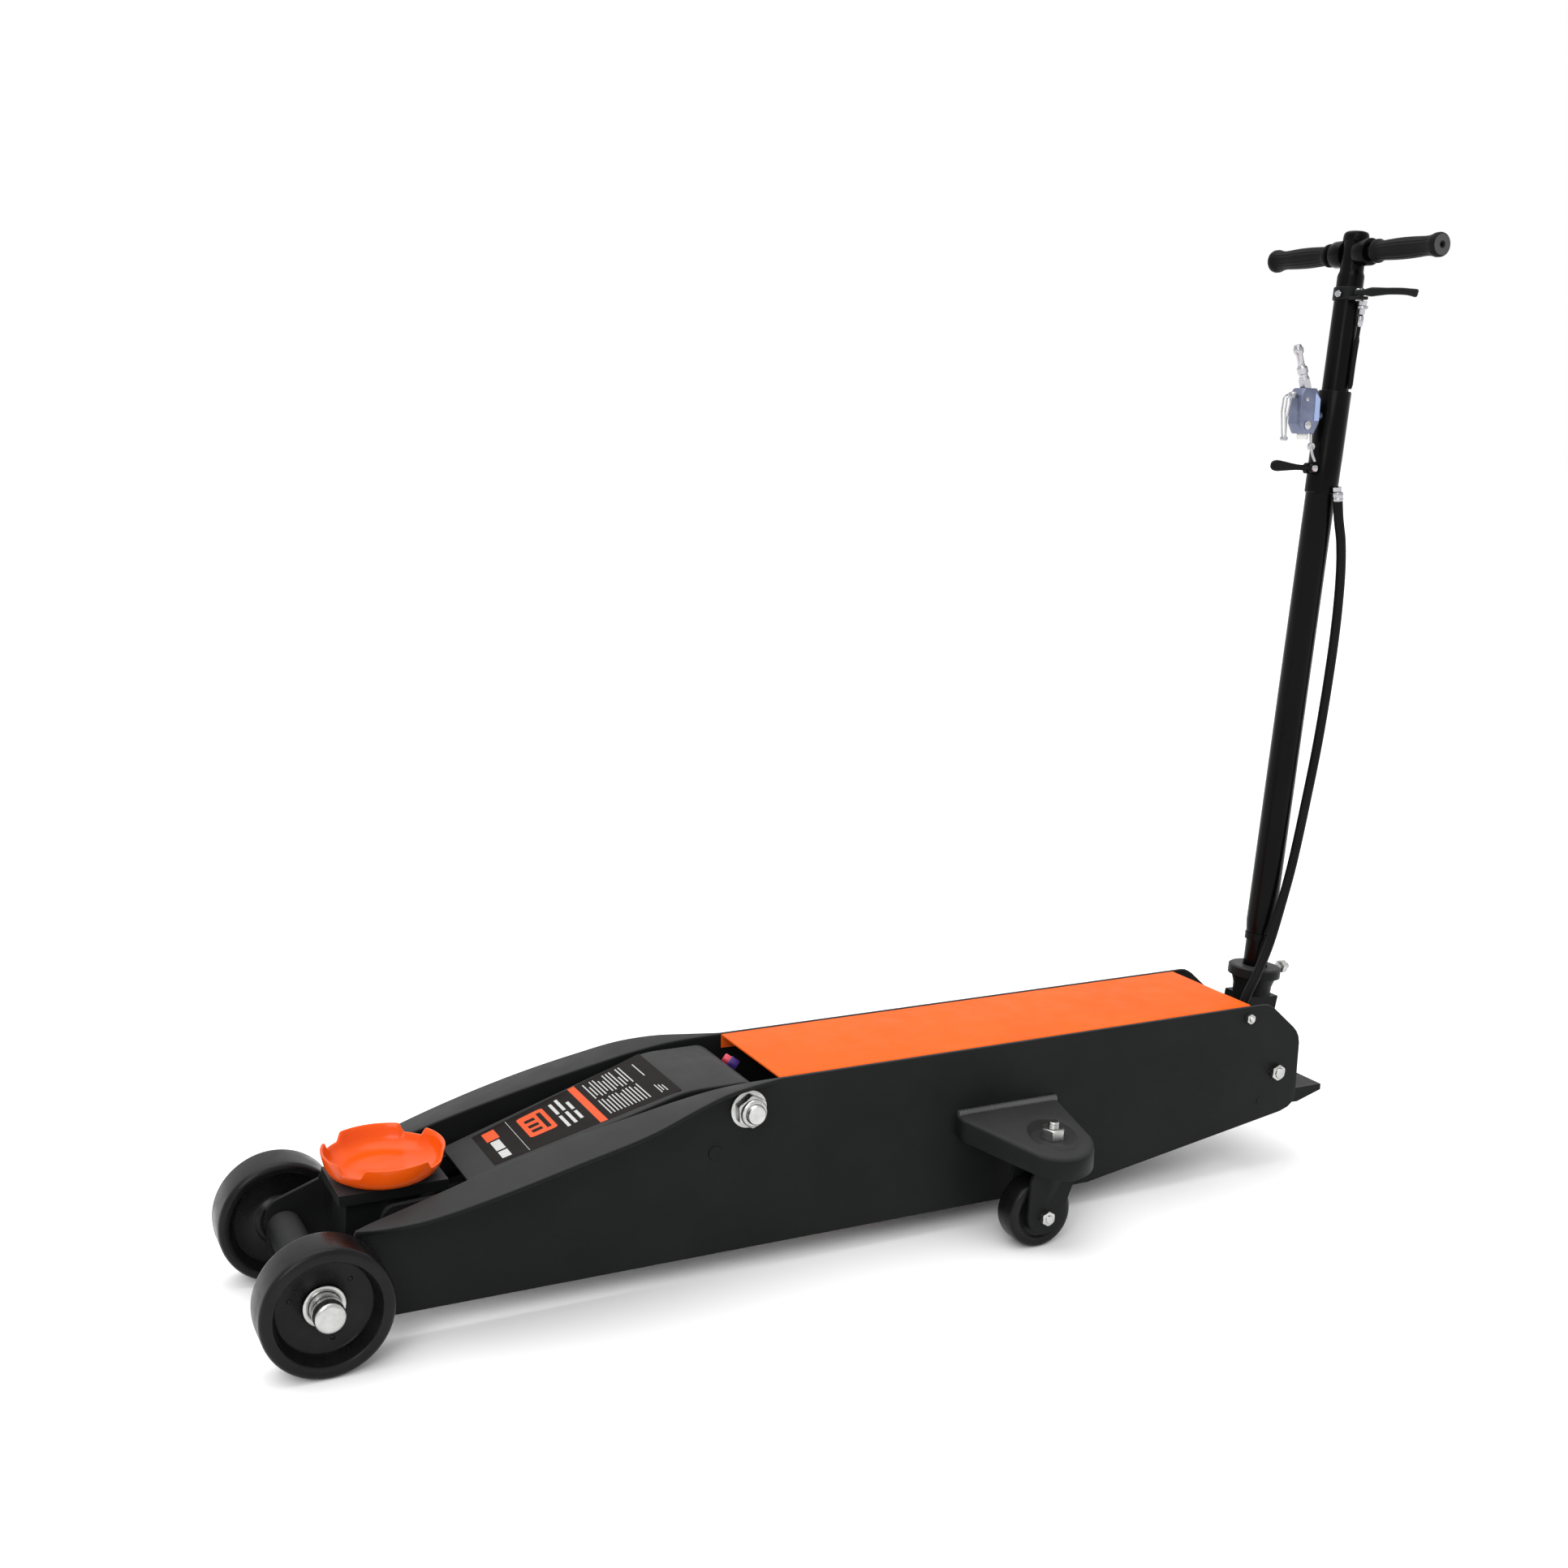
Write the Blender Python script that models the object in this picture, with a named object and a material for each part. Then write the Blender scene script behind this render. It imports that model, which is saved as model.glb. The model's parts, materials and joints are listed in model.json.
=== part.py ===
"""Ten-ton long-chassis air and hydraulic service jack, modelled as its separate pieces.

Lengths are millimetres until a mesh is finished, which turns them into metres.
x runs from the front axle toward the handle, y from the centre plane (left is -y), z from the ground.
"""
import math

import bmesh
import bpy
import numpy as np
from mathutils import Vector

MM = 0.001
GAP = 0.3                      # air left between pieces that touch
ORIGIN_X = 740.7               # middle of the whole jack, measured from the front axle

# Chassis
PLATE_OUTER = 95.0             # half width over the two side plates
PLATE_THICK = 6.0
PLATE_INNER = PLATE_OUTER - PLATE_THICK
PLATE_BOTTOM = 31.4
DECK_Z = 257.0
PLATE_TOP_LINE = [(-22, 108), (-13, 118), (45, 139), (47.9, 146), (600, 257), (1409.5, 257), (1467, 207)]
PLATE_BOTTOM_LINE = [(1097, 31.4), (1440.7, 85.8), (1461, 93.5), (1467, 100)]
PLATE_NOSE_RADIUS = 22.0
# Outward lip on each side plate: x, height of the bend, height of the rim, width
LIP_ROWS = [
    (48, 146.5, 146.5, 0), (62, 151.5, 151, 13), (90, 159.5, 157, 27), (120, 168, 163, 37),
    (155, 178, 172, 45), (200, 191, 184, 51), (300, 215, 210, 56), (410, 237.5, 235, 52),
    (475, 249, 251, 38), (520, 254.5, 257, 24), (560, 256.5, 257.5, 12), (605, 257, 257, 0)]
LIP_THICK = 6.0

# Shafts across the chassis: x, z
AXLE = (0.0, 80.0)
ARM_PIVOT = (557.5, 223.5)
LINK_PIVOT = (512.0, 170.0)
REAR_TIE = (1368.0, 240.0)
HANDLE_PIVOT = (1425.5, 151.0)
PEDAL_PIVOT = (1400.0, 108.0)
AXLE_R = 19.0
ARM_PIVOT_R = 13.0
LINK_PIVOT_R = 9.0
REAR_TIE_R = 5.5
HANDLE_PIVOT_R = 10.0
PEDAL_PIVOT_R = 6.0
BORE_GAP = 0.3

# Front wheels
WHEEL_R = 80.0
WHEEL_WIDE = 56.0
WHEEL_OUT = 157.0              # half width over the front wheels
AXLE_END = 167.0
WHEEL_DISH = (26.0, 14.0)       # depth of the outer and of the inner dish

# Casters
CASTER_R = 47.5
CASTER_WIDE = 33.0
CASTER_X = 954.0
CASTER_STEM_X = 978.0
CASTER_Y = 169.0
BRACKET_BACK = (872.0, 1034.0)
BRACKET_TOP = 168.0
BRACKET_SLOPE = 0.225
BRACKET_SKIRT = 30.0
SEAT_Z = 145.5

# Deck
COVER_X = (605.5, 1375.5)
COVER_SHEET = 2.5
COVER_FLANGE = 20.0

# Lift arm, saddle carrier and levelling links
SADDLE_PIN = (106.0, 135.0)
SADDLE_PIN_R = 11.0
CARRIER_PIN = (SADDLE_PIN[0] + LINK_PIVOT[0] - ARM_PIVOT[0], SADDLE_PIN[1] + LINK_PIVOT[1] - ARM_PIVOT[1])
CARRIER_PIN_R = 8.0
ARM_FRONT = (198.0, 167.0)
ARM_SLOPE = 0.298
ARM_CURL_R = 28.0
ARM_SKIN = 7.5
ARM_HALF_FRONT = 61.0
ARM_HALF_REAR = 76.0
ARM_SIDE_Y = (50.0, 58.0)
CRANK_R = 85.0
CRANK_REST = math.radians(30)
CRANK_TOE_R = 12.0
CRANK_HALF = 14.0
SADDLE_X = 106.0
SADDLE_BASE_Z = 172.3
SADDLE_RIM_R = 76.0
SADDLE_RIM_Z = 196.0
SADDLE_LOBE = 11.0
CARRIER_X = (39.3, 175.0)
CARRIER_Z = (158.0, 172.0)
CARRIER_HALF = 47.0
LINK_Y = (36.3, 43.3)

# Hydraulics
RAM_Z = 146.0
RAM_R = 17.0
RAM_FACE_X = ARM_PIVOT[0] + CRANK_R * math.sin(CRANK_REST) + CRANK_TOE_R + 1.3
CYLINDER_X = (803.0, 1120.0)
PUMP_X = (1120.3, 1330.0)
PLUNGER_Z = 119.0
PLUNGER_R = 10.0

# Handle: its axis runs from the socket mouth to the top cap
HANDLE_FOOT = Vector((1458.5, 0.0, 283.7))
HANDLE_HEAD = Vector((1543.4, 0.0, 1353.8))
HANDLE_DIR = (HANDLE_HEAD - HANDLE_FOOT).normalized()
TUBE_R = 21.0
UPPER_R = 18.5
NECK_R = 16.2
T_BAR_Z = 1329.0
T_BAR_END = 150.0
GRIP_Y = (43.0, 160.0)
GRIP_R = 14.8
COLLAR_R = 38.0
LEVER_PIVOT = Vector((1526.0, -27.0, 1272.0))
HAND_LEVER_PIVOT = Vector((1488.0, -8.0, 1027.0))
TRIGGER_PIVOT = Vector((1449.0, 0.0, 1130.0))
HOSE_R = 6.8


# ---------------------------------------------------------------- materials
def principled(name, colour, roughness, metallic=0.0):
    """A Principled material; colour is linear RGB."""
    found = bpy.data.materials.get(name)
    if found:
        return found
    made = bpy.data.materials.new(name)
    made.use_nodes = True
    shader = made.node_tree.nodes["Principled BSDF"]
    shader.inputs["Base Color"].default_value = (*colour, 1.0)
    shader.inputs["Roughness"].default_value = roughness
    shader.inputs["Metallic"].default_value = metallic
    made.diffuse_color = (*colour, 1.0)
    return made


def black_paint():
    return principled("black_paint", (0.018, 0.019, 0.019), 0.42)


def arm_paint():
    return principled("arm_paint", (0.028, 0.028, 0.030), 0.45)


def deck_orange():
    return principled("deck_orange", (1.0, 0.147, 0.026), 0.45)


def saddle_orange():
    return principled("saddle_orange", (0.83, 0.08, 0.009), 0.30)


def wheel_iron():
    return principled("wheel_iron", (0.013, 0.013, 0.014), 0.5)


def zinc():
    return principled("zinc", (0.62, 0.62, 0.63), 0.28, 1.0)


def chrome():
    return principled("chrome", (0.78, 0.78, 0.80), 0.12, 1.0)


def tube_gloss():
    return principled("tube_gloss", (0.004, 0.004, 0.004), 0.22)


def rubber():
    return principled("rubber", (0.012, 0.012, 0.013), 0.6)


def valve_grey():
    return principled("valve_grey", (0.16, 0.18, 0.26), 0.35, 0.6)


# ---------------------------------------------------------------- mesh helpers
def closed_loft(bm, loops):
    """Skin a row of equal closed loops and cap both ends."""
    rings = [[bm.verts.new(point) for point in loop] for loop in loops]
    count = len(rings[0])
    for near, far in zip(rings, rings[1:]):
        for index in range(count):
            after = (index + 1) % count
            bm.faces.new((near[index], near[after], far[after], far[index]))
    bm.faces.new(rings[0])
    bm.faces.new(rings[-1])


def prism(bm, outline, y_low, y_high):
    """Extrude an x, z outline across the width."""
    closed_loft(bm, [[(x, y, z) for x, z in outline] for y in (y_low, y_high)])


def block(bm, x_span, y_span, z_span):
    outline = [(x_span[0], z_span[0]), (x_span[1], z_span[0]), (x_span[1], z_span[1]), (x_span[0], z_span[1])]
    prism(bm, outline, *y_span)


def lathe(bm, profile, base, axis, segments, ring=False):
    """Turn (radius, distance along axis) points; a ring profile is closed on itself."""
    axis = Vector(axis).normalized()
    side = axis.orthogonal().normalized()
    other = axis.cross(side)
    rows = []
    for radius, along in profile:
        centre = Vector(base) + axis * along
        if radius < 0.01:
            rows.append([bm.verts.new(centre)])
            continue
        angles = [math.tau * step / segments for step in range(segments)]
        rows.append([bm.verts.new(centre + (side * math.cos(a) + other * math.sin(a)) * radius) for a in angles])
    pairs = list(zip(rows, rows[1:]))
    if ring:
        pairs.append((rows[-1], rows[0]))
    for low, high in pairs:
        for step in range(segments):
            after = (step + 1) % segments
            corners = [low[step % len(low)], low[after % len(low)], high[after % len(high)], high[step % len(high)]]
            unique = list(dict.fromkeys(corners))
            if len(unique) > 2:
                bm.faces.new(unique)
    if not ring:
        for row in (rows[0], rows[-1]):
            if len(row) > 1:
                bm.faces.new(row)


def cylinder(bm, radius, start, end, segments=24):
    start = Vector(start)
    length = (Vector(end) - start).length
    lathe(bm, [(radius, 0.0), (radius, length)], start, Vector(end) - start, segments)


def across(bm, centre, radius, y_low, y_high, segments=24):
    """A round bar across the chassis at an (x, z) centre."""
    cylinder(bm, radius, (centre[0], y_low, centre[1]), (centre[0], y_high, centre[1]), segments)


def arc(centre, radius, start_deg, end_deg, steps):
    angles = [math.radians(start_deg + (end_deg - start_deg) * k / steps) for k in range(steps + 1)]
    return [(centre[0] + radius * math.cos(a), centre[1] + radius * math.sin(a)) for a in angles]


def bar_outline(first, first_r, second, second_r, steps=8):
    """Outline of a link with round ends, drawn by its two end circles and their common tangents."""
    span = Vector((second[0] - first[0], second[1] - first[1]))
    heading = math.degrees(math.atan2(span.y, span.x))
    spread = math.degrees(math.acos((first_r - second_r) / span.length))
    far_end = arc(second, second_r, heading - spread, heading + spread, steps)
    near_end = arc(first, first_r, heading + spread, heading + 360 - spread, steps)
    return far_end + near_end


def smooth_rows(rows, places):
    """Catmull-Rom values of the rows' columns at the given places."""
    table = np.array(rows, float)
    xs = table[:, 0]
    slopes = np.gradient(table[:, 1:], xs, axis=0)
    result = []
    for x in places:
        k = min(max(int(np.searchsorted(xs, x)) - 1, 0), len(xs) - 2)
        span = xs[k + 1] - xs[k]
        t = (x - xs[k]) / span
        value = ((2 * t**3 - 3 * t**2 + 1) * table[k, 1:] + (t**3 - 2 * t**2 + t) * span * slopes[k]
                 + (3 * t**2 - 2 * t**3) * table[k + 1, 1:] + (t**3 - t**2) * span * slopes[k + 1])
        result.append(value)
    return result


def finish(name, bm, paint, origin=(0.0, 0.0, 0.0), sharp=35.0):
    """Turn a millimetre mesh into a metre object whose origin lies on its joint."""
    bmesh.ops.remove_doubles(bm, verts=bm.verts, dist=0.001)
    bmesh.ops.dissolve_degenerate(bm, edges=bm.edges, dist=0.001)
    bmesh.ops.recalc_face_normals(bm, faces=bm.faces)
    pivot = Vector(origin)
    for vert in bm.verts:
        vert.co = (vert.co - pivot) * MM
    mesh = bpy.data.meshes.new(name)
    bm.to_mesh(mesh)
    bm.free()
    mesh.shade_smooth()
    mesh.set_sharp_from_angle(angle=math.radians(sharp))
    made = bpy.data.objects.new(name, mesh)
    made.location = (pivot - Vector((ORIGIN_X, 0.0, 0.0))) * MM
    made.data.materials.append(paint)
    bpy.context.scene.collection.objects.link(made)
    return made


def as_cutter(name, bm):
    cutter = finish(name, bm, black_paint())
    cutter.hide_render = True
    cutter.display_type = "WIRE"
    return cutter


def boolean(target, tool, operation="DIFFERENCE"):
    modifier = target.modifiers.new(tool.name, "BOOLEAN")
    modifier.operation = operation
    modifier.solver = "EXACT"
    modifier.object = tool


def joint_at(place):
    return (place[0], 0.0, place[1])


# ---------------------------------------------------------------- chassis
def plate_section(x, side):
    """Loop across one side plate and its lip at a station x."""
    bottom = float(np.interp(x, *zip(*PLATE_BOTTOM_LINE)))
    if x < 0:
        bottom += PLATE_NOSE_RADIUS - math.sqrt(max(PLATE_NOSE_RADIUS**2 - x * x, 0.0)) * 0.999
    bend = float(np.interp(x, *zip(*PLATE_TOP_LINE)))
    rim, width = bend, 0.0
    if LIP_ROWS[0][0] <= x <= LIP_ROWS[-1][0]:
        bend, rim, width = smooth_rows(LIP_ROWS, [x])[0]
    out = PLATE_OUTER + max(width, 0.0)
    points = [(PLATE_INNER, bottom), (PLATE_OUTER, bottom), (PLATE_OUTER, bend - LIP_THICK),
              (out, rim - LIP_THICK), (out, rim), (PLATE_INNER, bend)]
    return [(x, side * y, z) for y, z in points]


def shaft_bores():
    bm = bmesh.new()
    reach = PLATE_OUTER + 3
    for place, radius in ((AXLE, AXLE_R), (ARM_PIVOT, ARM_PIVOT_R), (LINK_PIVOT, LINK_PIVOT_R),
                          (REAR_TIE, REAR_TIE_R), (HANDLE_PIVOT, HANDLE_PIVOT_R), (PEDAL_PIVOT, PEDAL_PIVOT_R)):
        across(bm, place, radius + BORE_GAP, -reach, reach, 20)
    return as_cutter("cut_shaft_bores", bm)


def side_plates():
    nose = [-22, -20, -15, -8, 0, 45]
    lip = [48, 52, 56, 62, 75, 90, 105, 120, 155, 200, 250, 300, 355, 410, 445, 475, 500, 520, 540, 560, 582, 605]
    rear = [1097, 1409.5, 1440.7, 1461, 1467]
    bores = shaft_bores()
    for side, name in ((-1, "side_plate_left"), (1, "side_plate_right")):
        bm = bmesh.new()
        closed_loft(bm, [plate_section(x, side) for x in nose + lip + rear])
        boolean(finish(name, bm, black_paint()), bores)


def front_axle():
    bm = bmesh.new()
    rim = AXLE_R - 1.5
    profile = [(rim, 0), (AXLE_R, 1.5), (AXLE_R, 2 * AXLE_END - 1.5), (rim, 2 * AXLE_END)]
    lathe(bm, profile, (AXLE[0], -AXLE_END, AXLE[1]), (0, 1, 0), 24)
    finish("front_axle", bm, zinc())
    bm = bmesh.new()
    tube_r = AXLE_R + 4
    inner = AXLE_R + BORE_GAP
    reach = PLATE_INNER - GAP
    profile = [(inner, 0), (tube_r, 0), (tube_r, 2 * reach), (inner, 2 * reach)]
    lathe(bm, profile, (AXLE[0], -reach, AXLE[1]), (0, 1, 0), 24, ring=True)
    finish("front_cross_tube", bm, black_paint())


def axle_washers():
    floor = WHEEL_OUT - WHEEL_DISH[0]
    for side, name in ((-1, "axle_washer_left"), (1, "axle_washer_right")):
        bm = bmesh.new()
        inner = AXLE_R + BORE_GAP
        profile = [(inner, 0), (25.5, 0), (25.5, 3.5), (inner, 3.5)]
        lathe(bm, profile, (AXLE[0], side * (floor + GAP), AXLE[1]), (0, side, 0), 24, ring=True)
        finish(name, bm, zinc())


def front_wheels():
    """Cast wheels, dished on both faces, that turn on the fixed axle."""
    wide = WHEEL_WIDE
    bore = AXLE_R + 0.4
    deep, shallow = WHEEL_DISH
    profile = [(WHEEL_R, 5), (WHEEL_R - 4, 0), (64, 0), (57, deep), (bore, deep), (bore, wide - shallow + 6),
               (29, wide - shallow + 6), (34, wide - shallow), (60, wide - shallow), (WHEEL_R - 13, wide),
               (WHEEL_R - 4, wide), (WHEEL_R, wide - 5)]
    for side, name in ((-1, "front_wheel_left"), (1, "front_wheel_right")):
        bm = bmesh.new()
        outer = (AXLE[0], side * WHEEL_OUT, AXLE[1])
        lathe(bm, profile, outer, (0, -side, 0), 36, ring=True)
        finish(name, bm, wheel_iron(), origin=outer)


def cross_shafts():
    bm = bmesh.new()
    reach = PLATE_OUTER + 1.5
    across(bm, LINK_PIVOT, LINK_PIVOT_R, -reach, reach, 20)
    finish("link_pivot_shaft", bm, black_paint(), origin=joint_at(LINK_PIVOT))
    for name, place, radius, hexagon, thick in (
            ("rear_tie_bolt", REAR_TIE, REAR_TIE_R, 7.8, 6.0),
            ("handle_pivot_bolt", HANDLE_PIVOT, HANDLE_PIVOT_R, 12.6, 8.0)):
        bm = bmesh.new()
        seat = PLATE_OUTER + GAP
        across(bm, place, radius, -seat - thick - 3, seat, 16)
        finish(name, bm, zinc(), origin=joint_at(place))
        head = bmesh.new()
        across(head, place, hexagon, seat, seat + thick, 6)
        across(head, place, hexagon, -seat - thick, -seat, 6)
        union_of(name, head)


def union_of(name, bm):
    """Weld a second mesh into an object already made."""
    tool = as_cutter("weld_" + name, bm)
    boolean(bpy.data.objects[name], tool, "UNION")


def main_pivot():
    seat = PLATE_OUTER + GAP
    bm = bmesh.new()
    profile = [(ARM_PIVOT_R - 1.5, 0), (ARM_PIVOT_R, 1.5), (ARM_PIVOT_R, 28 + 2 * seat)]
    lathe(bm, profile, (ARM_PIVOT[0], -seat - 28, ARM_PIVOT[1]), (0, 1, 0), 24)
    finish("main_pivot_bolt", bm, zinc(), origin=joint_at(ARM_PIVOT))
    head = bmesh.new()
    across(head, ARM_PIVOT, 23.0, seat, seat + 16, 6)
    union_of("main_pivot_bolt", head)
    bm = bmesh.new()
    inner = (ARM_PIVOT_R + BORE_GAP) / math.cos(math.pi / 18)
    profile = [(inner, 0), (25, 0), (25, 3.5), (22.5, 4), (22.5, 19), (19, 22), (inner, 22)]
    lathe(bm, profile, (ARM_PIVOT[0], -seat, ARM_PIVOT[1]), (0, -1, 0), 18, ring=True)
    finish("main_pivot_nut", bm, zinc(), origin=joint_at(ARM_PIVOT))


def deck_cover():
    """Sheet lid between the plates: a shallow channel turned upside down."""
    half = PLATE_INNER - GAP
    low = DECK_Z - COVER_FLANGE
    under = DECK_Z - COVER_SHEET
    inside = half - COVER_SHEET
    loop = [(half, low), (half, DECK_Z), (-half, DECK_Z), (-half, low), (-inside, low), (-inside, under),
            (inside, under), (inside, low)]
    bm = bmesh.new()
    closed_loft(bm, [[(x, y, z) for y, z in loop] for x in COVER_X])
    made = finish("deck_cover", bm, deck_orange())
    bm = bmesh.new()
    block(bm, (REAR_TIE[0] - 15, COVER_X[1] + 5), (-PLATE_INNER - 4, PLATE_INNER + 4), (low - 5, under - 1))
    boolean(made, as_cutter("cut_cover_flange", bm))


def bracket_plan(grow):
    """Plan outline of a caster bracket, from the plate outward; grow moves every edge out."""
    back = PLATE_OUTER + GAP
    nose = (CASTER_STEM_X - 3, CASTER_Y)
    front_x, rear_x = BRACKET_BACK
    points = [(rear_x + grow, back), (rear_x + grow, back + 14)]
    points += arc(nose, 58 + grow, 18, 142, 8)
    points += [(front_x - grow, back + 14), (front_x - grow, back)]
    return points


def bracket_block(bm, side, grow, lower_top, bottom_drop, back_shift):
    def top(y):
        return BRACKET_TOP - BRACKET_SLOPE * (y - PLATE_OUTER) - lower_top
    plan = [(x, y - back_shift if y < PLATE_OUTER + 1 else y) for x, y in bracket_plan(grow)]
    high = [(x, side * y, top(y)) for x, y in plan]
    low = [(x, side * y, top(y) - bottom_drop) for x, y in plan]
    closed_loft(bm, [high, low])


def caster_brackets():
    for side, name in ((-1, "left"), (1, "right")):
        bm = bmesh.new()
        bracket_block(bm, side, 0.0, 0.0, BRACKET_SKIRT, 0.0)
        made = finish("caster_bracket_" + name, bm, black_paint())
        bm = bmesh.new()
        bracket_block(bm, side, -5.0, 6.0, BRACKET_SKIRT, 12.0)
        boolean(made, as_cutter("cut_bracket_" + name, bm))
        stem = (CASTER_STEM_X, side * CASTER_Y)
        bm = bmesh.new()
        cylinder(bm, 35, (*stem, SEAT_Z - 7), (*stem, SEAT_Z), 24)
        boolean(made, as_cutter("weld_seat_" + name, bm), "UNION")
        bm = bmesh.new()
        cylinder(bm, 31, (*stem, SEAT_Z), (*stem, SEAT_Z + 30), 24)
        boolean(made, as_cutter("cut_seat_" + name, bm))
        bm = bmesh.new()
        cylinder(bm, 8.4, (*stem, SEAT_Z - 30), (*stem, SEAT_Z + 5), 16)
        boolean(made, as_cutter("cut_stem_" + name, bm))


# ---------------------------------------------------------------- casters
def caster_fork(side, name):
    """Bent fork: a round top plate and two legs that reach forward to the axle."""
    stem = Vector((CASTER_STEM_X, side * CASTER_Y, 0))
    top = SEAT_Z - 7 - GAP
    bm = bmesh.new()
    cylinder(bm, 27, stem + Vector((0, 0, top - 14)), stem + Vector((0, 0, top)), 24)
    made = finish("caster_fork_" + name, bm, black_paint(), origin=stem)
    leg_in = CASTER_WIDE / 2 + 3.0
    leg_out = leg_in + 5.0
    axle = (CASTER_X, CASTER_R)
    outline = [(CASTER_STEM_X - 33, top - 8), (CASTER_X - 24, 100)] + arc(axle, 26, 180, 350, 10)
    outline += [(CASTER_STEM_X + 24, 100), (CASTER_STEM_X + 27, top - 8)]
    bm = bmesh.new()
    prism(bm, outline, side * CASTER_Y - leg_out, side * CASTER_Y + leg_out)
    boolean(made, as_cutter("weld_fork_" + name, bm), "UNION")
    bm = bmesh.new()
    block(bm, (CASTER_X - 60, CASTER_X + 70), (side * CASTER_Y - leg_in, side * CASTER_Y + leg_in), (20, top - 14))
    across(bm, axle, 6.3, side * CASTER_Y - 40, side * CASTER_Y + 40, 16)
    boolean(made, as_cutter("cut_fork_" + name, bm))
    bm = bmesh.new()
    cylinder(bm, 8.4, stem + Vector((0, 0, top - 30)), stem + Vector((0, 0, top + 5)), 16)
    boolean(made, as_cutter("cut_fork_stem_" + name, bm))


def caster_bolts(side, name):
    stem = Vector((CASTER_STEM_X, side * CASTER_Y, 0))
    low = SEAT_Z - 7 - GAP - 14 - GAP - 6
    bm = bmesh.new()
    profile = [(13, 0), (13, 6), (8, 6), (8, SEAT_Z + 22 - low), (6.5, SEAT_Z + 24 - low)]
    lathe(bm, profile, stem + Vector((0, 0, low)), (0, 0, 1), 16)
    finish("caster_stem_bolt_" + name, bm, zinc(), origin=stem)
    bm = bmesh.new()
    cylinder(bm, 16.4, stem + Vector((0, 0, SEAT_Z + GAP)), stem + Vector((0, 0, SEAT_Z + 16)), 6)
    union_of("caster_stem_bolt_" + name, bm)
    outer = CASTER_WIDE / 2 + 8 + GAP
    axle = (CASTER_X, CASTER_R)
    middle = side * CASTER_Y
    bm = bmesh.new()
    across(bm, axle, 6.0, middle - outer - 11, middle + outer + 11, 16)
    finish("caster_axle_" + name, bm, zinc(), origin=(CASTER_X, middle, CASTER_R))
    bm = bmesh.new()
    across(bm, axle, 10.4, middle - outer - 9, middle - outer, 6)
    across(bm, axle, 10.4, middle + outer, middle + outer + 9, 6)
    union_of("caster_axle_" + name, bm)


def caster_wheel(side, name):
    bm = bmesh.new()
    wide = CASTER_WIDE
    half = [(CASTER_R, 4), (CASTER_R - 4, 0), (35, 0), (31, 4), (15, 4), (12, -2), (6.5, -2)]
    profile = half + [(radius, wide - along) for radius, along in reversed(half)]
    base = (CASTER_X, side * CASTER_Y - wide / 2, CASTER_R)
    lathe(bm, profile, base, (0, 1, 0), 24, ring=True)
    finish("caster_wheel_" + name, bm, wheel_iron(), origin=(CASTER_X, side * CASTER_Y, CASTER_R))


def casters():
    for side, name in ((-1, "left"), (1, "right")):
        caster_fork(side, name)
        caster_bolts(side, name)
        caster_wheel(side, name)


# ---------------------------------------------------------------- lift arm
def arm_skin_path():
    """Outer line of the arm's top plate: slope, level crest and a curl round the pivot."""
    crest_z = ARM_PIVOT[1] + ARM_CURL_R
    knee_x = ARM_FRONT[0] + (crest_z - ARM_FRONT[1]) / ARM_SLOPE
    path = [ARM_FRONT, (knee_x - 40, crest_z - 40 * ARM_SLOPE), (knee_x - 15, crest_z - 6.4),
            (knee_x + 10, crest_z - 2.0), (knee_x + 35, crest_z)]
    path += arc(ARM_PIVOT, ARM_CURL_R, 90, 12, 7)
    return path


def arm_half(x):
    return float(np.interp(x, [ARM_FRONT[0], ARM_PIVOT[0] - 70], [ARM_HALF_FRONT, ARM_HALF_REAR]))


def arm_top_plate():
    path = [Vector(point) for point in arm_skin_path()]
    loops = []
    for index, point in enumerate(path):
        ahead = path[min(index + 1, len(path) - 1)] - path[max(index - 1, 0)]
        if index >= len(path) - 8:
            inward = (Vector(ARM_PIVOT) - point).normalized()
        else:
            inward = Vector((ahead.y, -ahead.x)).normalized()
        inner = point + inward * ARM_SKIN
        half = arm_half(point.x)
        loops.append([(point.x, -half, point.y), (point.x, half, point.y), (inner.x, half, inner.y),
                      (inner.x, -half, inner.y)])
    bm = bmesh.new()
    closed_loft(bm, loops)
    finish("arm_top_plate", bm, arm_paint(), origin=joint_at(ARM_PIVOT))


def arm_sides():
    crest = ARM_PIVOT[1] + ARM_CURL_R - ARM_SKIN - GAP
    drop = (ARM_SKIN + GAP) * 1.06
    knee_x = ARM_FRONT[0] + (crest - ARM_FRONT[1] + drop) / ARM_SLOPE
    outline = arc(SADDLE_PIN, 19, 270, 100, 8)
    outline += [(ARM_FRONT[0] + 4, ARM_FRONT[1] - drop), (knee_x - 25, crest - 25 * ARM_SLOPE - 1.0)]
    outline += [(knee_x + 20, crest - 1.0)]
    outline += arc(ARM_PIVOT, ARM_CURL_R - ARM_SKIN - GAP - 0.4, 90, -90, 10)
    outline += [(500, 188), (330, 150), (200, 126)]
    bores = bmesh.new()
    across(bores, ARM_PIVOT, ARM_PIVOT_R + BORE_GAP, -70, 70, 20)
    across(bores, SADDLE_PIN, SADDLE_PIN_R + BORE_GAP, -70, 70, 20)
    cutter = as_cutter("cut_arm_bores", bores)
    for side, name in ((-1, "arm_side_left"), (1, "arm_side_right")):
        bm = bmesh.new()
        prism(bm, outline, side * ARM_SIDE_Y[0], side * ARM_SIDE_Y[1])
        boolean(finish(name, bm, arm_paint(), origin=joint_at(ARM_PIVOT)), cutter)


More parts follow.
